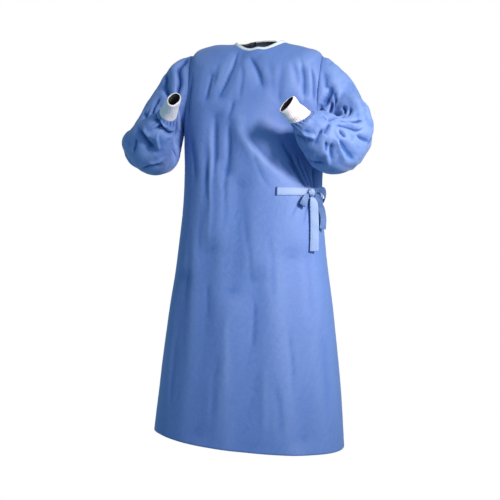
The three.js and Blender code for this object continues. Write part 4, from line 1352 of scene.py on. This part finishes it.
class GownSizes(bpy.types.PropertyGroup):
    cloth: length("Cloth", "Thickness of the gown's cloth", 0.0008, 0.0004, 0.0015)
    knit: length("Knit", "Thickness of the cuffs' knit", 0.0018, 0.001, 0.0022)
    tape: length("Tape", "Thickness of the belt's folded tape", 0.001, 0.0005, 0.0012)
    binding: length("Binding", "Thickness of the neck binding", 0.0018, 0.001, 0.002)
    rib_height: length("Rib height", "How far the cuffs' ribs stand out", 0.0008, 0, 0.0015)
    crumple_height: length("Crumple", "Height of the cloth's small uneven faces", 0.0006, 0, 0.002)
    crease_strength: FloatProperty(
        name="Creases", description="Depth of the creases against their tables", default=1.0,
        min=0, max=1.5, subtype="FACTOR",
    )


class GownColours(bpy.types.PropertyGroup):
    cloth: colour("Cloth", "Blue of the gown", 0.116, 0.203, 0.53)
    # Painted light: a deeper blue painted where folds dip in, as shade, and a paler blue painted on
    # ridges, as highlight
    cloth_fold_shade: colour("Cloth in creases", "Deeper blue in creases", 0.016, 0.085, 0.32)
    cloth_ridge_highlight: colour("Cloth on ridges", "Paler blue on ridges", 0.24, 0.35, 0.68)
    # Painted shade: the cloth's inner side is drawn a deeper blue than the same cloth outside
    cloth_inside_shade: colour("Cloth inside", "Deep blue of the inner side", 0.035, 0.07, 0.17)
    belt: colour("Belt", "Lighter blue of the belt", 0.27, 0.37, 0.64)
    # Painted shade: this deeper blue darkens where the bow's tapes dip in, and whole tapes of the
    # bow
    belt_painted_shade: colour("Belt, turned sides", "Deeper blue of turned sides", 0.02, 0.07, 0.25)
    cuffs: colour("Cuffs", "White of the knitted cuffs", 0.97, 0.84, 0.87)
    # Painted shade: the cuffs' inner side, also used inside the neck binding
    cuffs_inside_shade: colour("Cuffs inside", "Shade of the cuffs' inner side", 0.05, 0.035, 0.035)
    binding: colour("Neck binding", "White of the neck binding", 0.80, 0.83, 0.87)
    tack: colour("Bar tack", "Dark blue of the bar tack's thread", 0.02, 0.06, 0.24)
    floor: colour("Floor", "Pale tone of the floor", 0.97, 0.97, 0.97)


class GownStudio(bpy.types.PropertyGroup):
    key: FloatProperty(
        name="Key light", description="Power of the large light at the camera's right",
        default=7.5, min=0, unit="POWER",
    )
    fill: FloatProperty(
        name="Fill light", description="Power of the weak light beside the camera",
        default=12, min=0, unit="POWER",
    )
    sky: FloatProperty(
        name="Room light", description="Brightness of the light from all round",
        default=0.45, min=0, subtype="FACTOR",
    )
    floor_level: FloatProperty(
        name="Floor level", description="Height of the floor below the shoulders",
        default=-1.42, unit="LENGTH",
    )


# Operators


class GOWN_OT_front(bpy.types.Operator):
    """Make the front, one piece from the shoulder seams to the hem"""

    bl_idname = "gown.front"
    bl_label = "Front"

    def execute(self, context):
        side, middle = body_rows()
        places = front_places(side, middle, FRONT_COLUMNS)
        # Painted shade where the front dips in and painted highlight on its ridges, faded out at
        # its sides
        painted_light = painted_light_mask(places, INWARD, False) * FRONT_PAINTED_LIGHT
        from_side = FRONT_COLUMNS / 2 - np.abs(np.arange(FRONT_COLUMNS) - FRONT_COLUMNS // 2)
        painted_light *= smooth(from_side / PAINTED_LIGHT_FADE_COLUMNS)
        places = drawn_back(places, top=True, left=True, right=True)
        mesh = cloth_mesh("gown_front", places, INWARD, painted_light=painted_light)
        front = add_piece("gown_front", mesh, gown_cloth(), "gown_cloth", "front")
        # Its inner side gets painted shade
        give_wall(front, context.scene.gown_sizes.cloth, cloth_inside_shade())
        return {"FINISHED"}


class GOWN_OT_backs(bpy.types.Operator):
    """Make the back's two halves, the right one wrapped over the left one"""

    bl_idname = "gown.backs"
    bl_label = "Back halves"

    def execute(self, context):
        side, middle = body_rows()
        for half, columns, flat, area in (
            (RIGHT, BACK_RIGHT_COLUMNS, (0.62, 1.2), 0.52),
            (LEFT, BACK_LEFT_COLUMNS, (0.6, 1.2), 0.50),
        ):
            name = f"back_{NAMES[half]}"
            places = back_places(half, side, middle, columns)
            # Painted shade where the back dips in and painted highlight on its ridges
            painted_light = painted_light_mask(places, OUTWARD, False) * BACK_PAINTED_LIGHT
            edges = {"left": half == RIGHT, "right": half == LEFT}
            places = drawn_back(places, top=True, **edges)
            mesh = cloth_mesh(f"gown_{name}", places, OUTWARD, painted_light=painted_light)
            back = add_piece(f"gown_{name}", mesh, gown_cloth(), "gown_cloth", name)
            # Its inner side gets painted shade
            give_wall(back, context.scene.gown_sizes.cloth, cloth_inside_shade())
        return {"FINISHED"}


class GOWN_OT_sleeves(bpy.types.Operator):
    """Make both sleeves, bent at the elbow and gathered into their cuffs"""

    bl_idname = "gown.sleeves"
    bl_label = "Sleeves"

    def execute(self, context):
        turns = np.arange(2 * ARMHOLE_ROWS) * 180 / ARMHOLE_ROWS
        for side in (LEFT, RIGHT):
            sleeve = SLEEVES[side]
            name = f"sleeve_{NAMES[side]}"
            rows = np.linspace(0, len(sleeve["sections"]) - 2, SLEEVE_ROWS)
            places = sleeve_places(side, rows, turns)
            # Painted shade where the sleeve dips in far enough and painted highlight on ridges,
            # faded out at the armhole
            painted_light = painted_light_mask(places, sleeve["hand"], True) * SLEEVE_PAINTED_LIGHT
            painted_light = np.where(painted_light > 0, np.maximum(painted_light - SLEEVE_PAINTED_SHADE_FROM, 0), painted_light)
            painted_light *= smooth(np.arange(SLEEVE_ROWS) / PAINTED_LIGHT_FADE_ROWS)[:, None]
            places = drawn_back(places, top=True, bottom=True)
            mesh = cloth_mesh(f"gown_{name}", places, sleeve["hand"], closed=True, painted_light=painted_light)
            piece = add_piece(f"gown_{name}", mesh, gown_cloth(), "gown_cloth", name)
            give_wall(piece, context.scene.gown_sizes.cloth)
        return {"FINISHED"}


class GOWN_OT_cuffs(bpy.types.Operator):
    """Make both knitted cuffs with their ribs and thick mouths"""

    bl_idname = "gown.cuffs"
    bl_label = "Cuffs"

    def execute(self, context):
        for side, flat in ((LEFT, (0.14, 0.065)), (RIGHT, (0.15, 0.075))):
            name = f"cuff_{NAMES[side]}"
            hand = SLEEVES[side]["hand"]
            mesh = cloth_mesh(f"gown_{name}", cuff_places(side), hand, closed=True)
            cuff = add_piece(f"gown_{name}", mesh, cuff_knit(), "cuff_knit", name)
            # Its inner side gets painted shade
            give_wall(cuff, context.scene.gown_sizes.knit, knit_inside_shade())
        return {"FINISHED"}


class GOWN_OT_neck_binding(bpy.types.Operator):
    """Make the strip that binds the neck edge, with its row of stitches"""

    bl_idname = "gown.neck_binding"
    bl_label = "Neck binding"

    def execute(self, context):
        share = np.linspace(0, 1, 11)
        rows = mix(BINDING_EDGE, NECK_EDGE, share)[:, None]
        left = back_places(LEFT, rows, rows, BACK_LEFT_COLUMNS)
        front = front_places(rows, rows, FRONT_COLUMNS)[:, ::-1]
        right = back_places(RIGHT, rows, rows, BACK_RIGHT_COLUMNS)
        places = np.concatenate([left, front[:, 1:-1], right], axis=1)
        outward = unit(np.cross(np.gradient(places, axis=1), np.gradient(places, axis=0)))
        roll = np.sqrt(np.clip(np.sin(pi * np.clip(share, 0.02, 0.98)), 0, 1))
        crown = 1.1 * roll - 0.5 * bell(share, 0.84, 0.06)
        uneven = waves(places, 38, 61) * 0.25
        places = places + outward * (crown[:, None] + uneven)[..., None]
        mesh = cloth_mesh("gown_neck_binding", places, OUTWARD)
        binding = add_piece("gown_neck_binding", mesh, neck_tape(), "neck_tape", "neck_binding")
        # Its inner side gets the cuffs' painted shade
        give_wall(binding, context.scene.gown_sizes.binding, knit_inside_shade())
        line = mix(places[8], places[9], 0.4) + outward[8] * 0.1
        thread = stitch_mesh("gown_neck_stitches", line, outward[8], *NECK_STITCH)
        stitches = add_piece("gown_neck_stitches", thread, neck_thread(), "neck_tape")
        return {"FINISHED"}


class GOWN_OT_belt(bpy.types.Operator):
    """Make the belt's two stretches with their stitched edges"""

    bl_idname = "gown.belt"
    bl_label = "Belt"

    def execute(self, context):
        for name, start, end, steps, flat_length in (
            ("front", BELT_START, BELT_FRONT_END, 60, 0.105),
            ("back", BELT_BACK_START, 2 * SIDE - BELT_BACK_END, 180, 0.28),
        ):
            places = belt_places(start, end, steps)
            add_tape(name, places, None)
        return {"FINISHED"}


def add_tape(name, places, painted_light):
    """A stretch of the belt or a tape of its bow, with its stitched edges."""
    mesh = cloth_mesh(f"gown_belt_{name}", places, OUTWARD, painted_light=painted_light)
    tape = add_piece(f"gown_belt_{name}", mesh, belt_cloth(), "belt_cloth", f"belt_{name}")
    give_wall(tape, bpy.context.scene.gown_sizes.tape)
    stitches = edge_stitches(f"gown_belt_{name}_stitches", places)


def edge_stitches(name, places):
    """Two rows of stitches along a tape's edges."""
    outward = unit(np.cross(np.gradient(places, axis=1), np.gradient(places, axis=0)))
    columns = places.shape[1]
    meshes = []
    for column in (round((columns - 1) * 0.1), round((columns - 1) * 0.9)):
        line = places[:, column] + outward[:, column] * 0.1
        meshes.append(stitch_mesh(name, line, outward[:, column], *BELT_STITCH))
    count = len(meshes[0].vertices)
    places = [tuple(v.co) for mesh in meshes for v in mesh.vertices]
    faces = [tuple(p.vertices) for p in meshes[0].polygons]
    faces += [tuple(n + count for n in p.vertices) for p in meshes[1].polygons]
    for mesh in meshes:
        bpy.data.meshes.remove(mesh)
    return add_piece(name, smooth_mesh(name, places, faces), belt_thread(), "belt_cloth")


class GOWN_OT_bow(bpy.types.Operator):
    """Make the bow: the knot, its two loops and its two hanging ends"""

    bl_idname = "gown.bow"
    bl_label = "Bow"

    def execute(self, context):
        places = knot_places()
        mesh = cloth_mesh("gown_belt_knot", places, OUTWARD, closed=True)
        close_ends(mesh, *places.shape[:2])
        knot = add_piece("gown_belt_knot", mesh, belt_cloth(), "belt_cloth", "belt_knot")
        for name, stations, steps, seed, curl, flat_length, deep in TAPES:
            places = tape_places(stations, steps, seed, curl)
            # Painted shade where a tape dips in, plus a share of painted shade over the whole tape
            painted_light = np.clip(painted_light_mask(places, OUTWARD, False) * TAPE_PAINTED_SHADE + deep, 0, 1)
            add_tape(name, places, painted_light)
        return {"FINISHED"}


class GOWN_OT_bar_tack(bpy.types.Operator):
    """Make the bar tack that holds the belt's end: thread zigzagged closely over it"""

    bl_idname = "gown.bar_tack"
    bl_label = "Bar tack"

    def execute(self, context):
        turns = TACK["turns"]
        share = np.linspace(0, 1, 2 * turns + 1)
        angle = np.where(np.arange(2 * turns + 1) % 2 == 0, TACK["from"], TACK["to"])
        level = BELT_LEVEL + TACK["height"] * (0.5 - share)
        fine = np.linspace(0, 2 * turns, 8 * turns + 1)
        angle, level = (np.interp(fine, np.arange(2 * turns + 1), x) for x in (angle, level))
        lift = TACK["lift"] + 0.25 * np.sin(pi * (fine % 1))
        path = on_body(FRONT, angle, level, lift)
        mesh = tube_mesh("gown_belt_tack", path, TACK["thread"])
        add_piece("gown_belt_tack", mesh, tack_thread(), "tack_thread", "belt_tack")
        return {"FINISHED"}


def aimed(name, kind, place, target):
    """A light or camera at a place, pointed at a target, both in metres."""
    thing = bpy.data.objects.new(name, kind)
    bpy.context.scene.collection.objects.link(thing)
    thing.location = place
    thing.rotation_euler = (Vector(target) - Vector(place)).to_track_quat("-Z", "Y").to_euler()
    return thing


def seen_from_camera(right, towards, up):
    """A place given by metres to the camera's right, towards it, and up from the gown's middle."""
    a = radians(CAMERA_TURN)
    return (
        right * cos(a) + towards * sin(a),
        right * sin(a) - towards * cos(a),
        up + CAMERA_LEVEL * MM,
    )


class GOWN_OT_stage(bpy.types.Operator):
    """Make the pale floor, the studio light and the camera"""

    bl_idname = "gown.stage"
    bl_label = "Floor, light and camera"

    def execute(self, context):
        studio = context.scene.gown_studio
        turn = np.linspace(0, 2 * pi, FLOOR_SIDES, endpoint=False)
        rings = np.linspace(FLOOR_START, FLOOR_REACH, FLOOR_RINGS)[:, None]
        level = np.full((FLOOR_RINGS, FLOOR_SIDES), studio.floor_level)
        places = np.stack([rings * np.cos(turn), rings * np.sin(turn), level], -1) / MM
        mesh = cloth_mesh("floor", places, INWARD, closed=True)
        close_ends(mesh, FLOOR_RINGS, FLOOR_SIDES, both=False)
        floor = bpy.data.objects.new("floor", mesh)
        context.scene.collection.objects.link(floor)
        mesh.materials.append(floor_finish(context.scene.gown_colours.floor, FLOOR_REACH))
        for name, (size, spread, tone, place, target) in LIGHTS.items():
            light = bpy.data.lights.new(name, "AREA")
            light.energy, light.size, light.color = getattr(studio, name), size, tone
            light.spread = radians(spread)
            aimed(name, light, seen_from_camera(*place), seen_from_camera(*target))
        make_room_light(context.scene, studio.sky)
        camera = bpy.data.cameras.new("camera")
        camera.lens, camera.sensor_width = CAMERA_LENS, SENSOR_WIDTH
        place = seen_from_camera(CAMERA_ASIDE * MM, CAMERA_DISTANCE * MM, 0)
        target = seen_from_camera(CAMERA_ASIDE * MM, 0, 0)
        context.scene.camera = aimed("camera", camera, place, target)
        context.scene.view_settings.view_transform = "Standard"
        return {"FINISHED"}


def make_room_light(scene, brightness):
    """White to the camera, and a weaker, slightly cool light on the gown."""
    scene.world = bpy.data.worlds.new("room")
    scene.world.use_nodes = True
    tree = scene.world.node_tree
    lit = tree.nodes["Background"]
    lit.inputs["Color"].default_value = ROOM_LIGHT
    lit.inputs["Strength"].default_value = brightness
    white = tree.nodes.new("ShaderNodeBackground")
    white.inputs["Color"].default_value = (1, 1, 1, 1)
    path = tree.nodes.new("ShaderNodeLightPath")
    both = tree.nodes.new("ShaderNodeMixShader")
    tree.links.new(path.outputs["Is Camera Ray"], both.inputs[0])
    tree.links.new(lit.outputs[0], both.inputs[1])
    tree.links.new(white.outputs[0], both.inputs[2])
    tree.links.new(both.outputs[0], tree.nodes["World Output"].inputs[0])


STEPS = (
    GOWN_OT_front,
    GOWN_OT_backs,
    GOWN_OT_sleeves,
    GOWN_OT_cuffs,
    GOWN_OT_neck_binding,
    GOWN_OT_belt,
    GOWN_OT_bow,
    GOWN_OT_bar_tack,
    GOWN_OT_stage,
)


class GOWN_PT_panel(bpy.types.Panel):
    """Lists the gown's pieces and what can be changed"""

    bl_idname = "GOWN_PT_panel"
    bl_label = "Surgical gown"
    bl_space_type = "VIEW_3D"
    bl_region_type = "UI"
    bl_category = "Gown"

    def draw(self, context):
        for group in (getattr(context.scene, name) for name in GROUPS):
            box = self.layout.box()
            for name in group.bl_rna.properties.keys():
                if name not in ("rna_type", "name"):
                    box.prop(group, name)
        for step in STEPS:
            self.layout.operator(step.bl_idname)


GROUPS = {"gown_sizes": GownSizes, "gown_colours": GownColours, "gown_studio": GownStudio}


def register():
    for made in (*GROUPS.values(), *STEPS, GOWN_PT_panel):
        bpy.utils.register_class(made)
    for name, group in GROUPS.items():
        setattr(bpy.types.Scene, name, PointerProperty(type=group))


def unregister():
    for name in GROUPS:
        delattr(bpy.types.Scene, name)
    for made in (GOWN_PT_panel, *reversed(STEPS), *reversed(GROUPS.values())):
        bpy.utils.unregister_class(made)


def main():
    register()
    for step in STEPS:
        group, name = step.bl_idname.split(".")
        getattr(getattr(bpy.ops, group), name)()


if __name__ == "__main__":
    main()
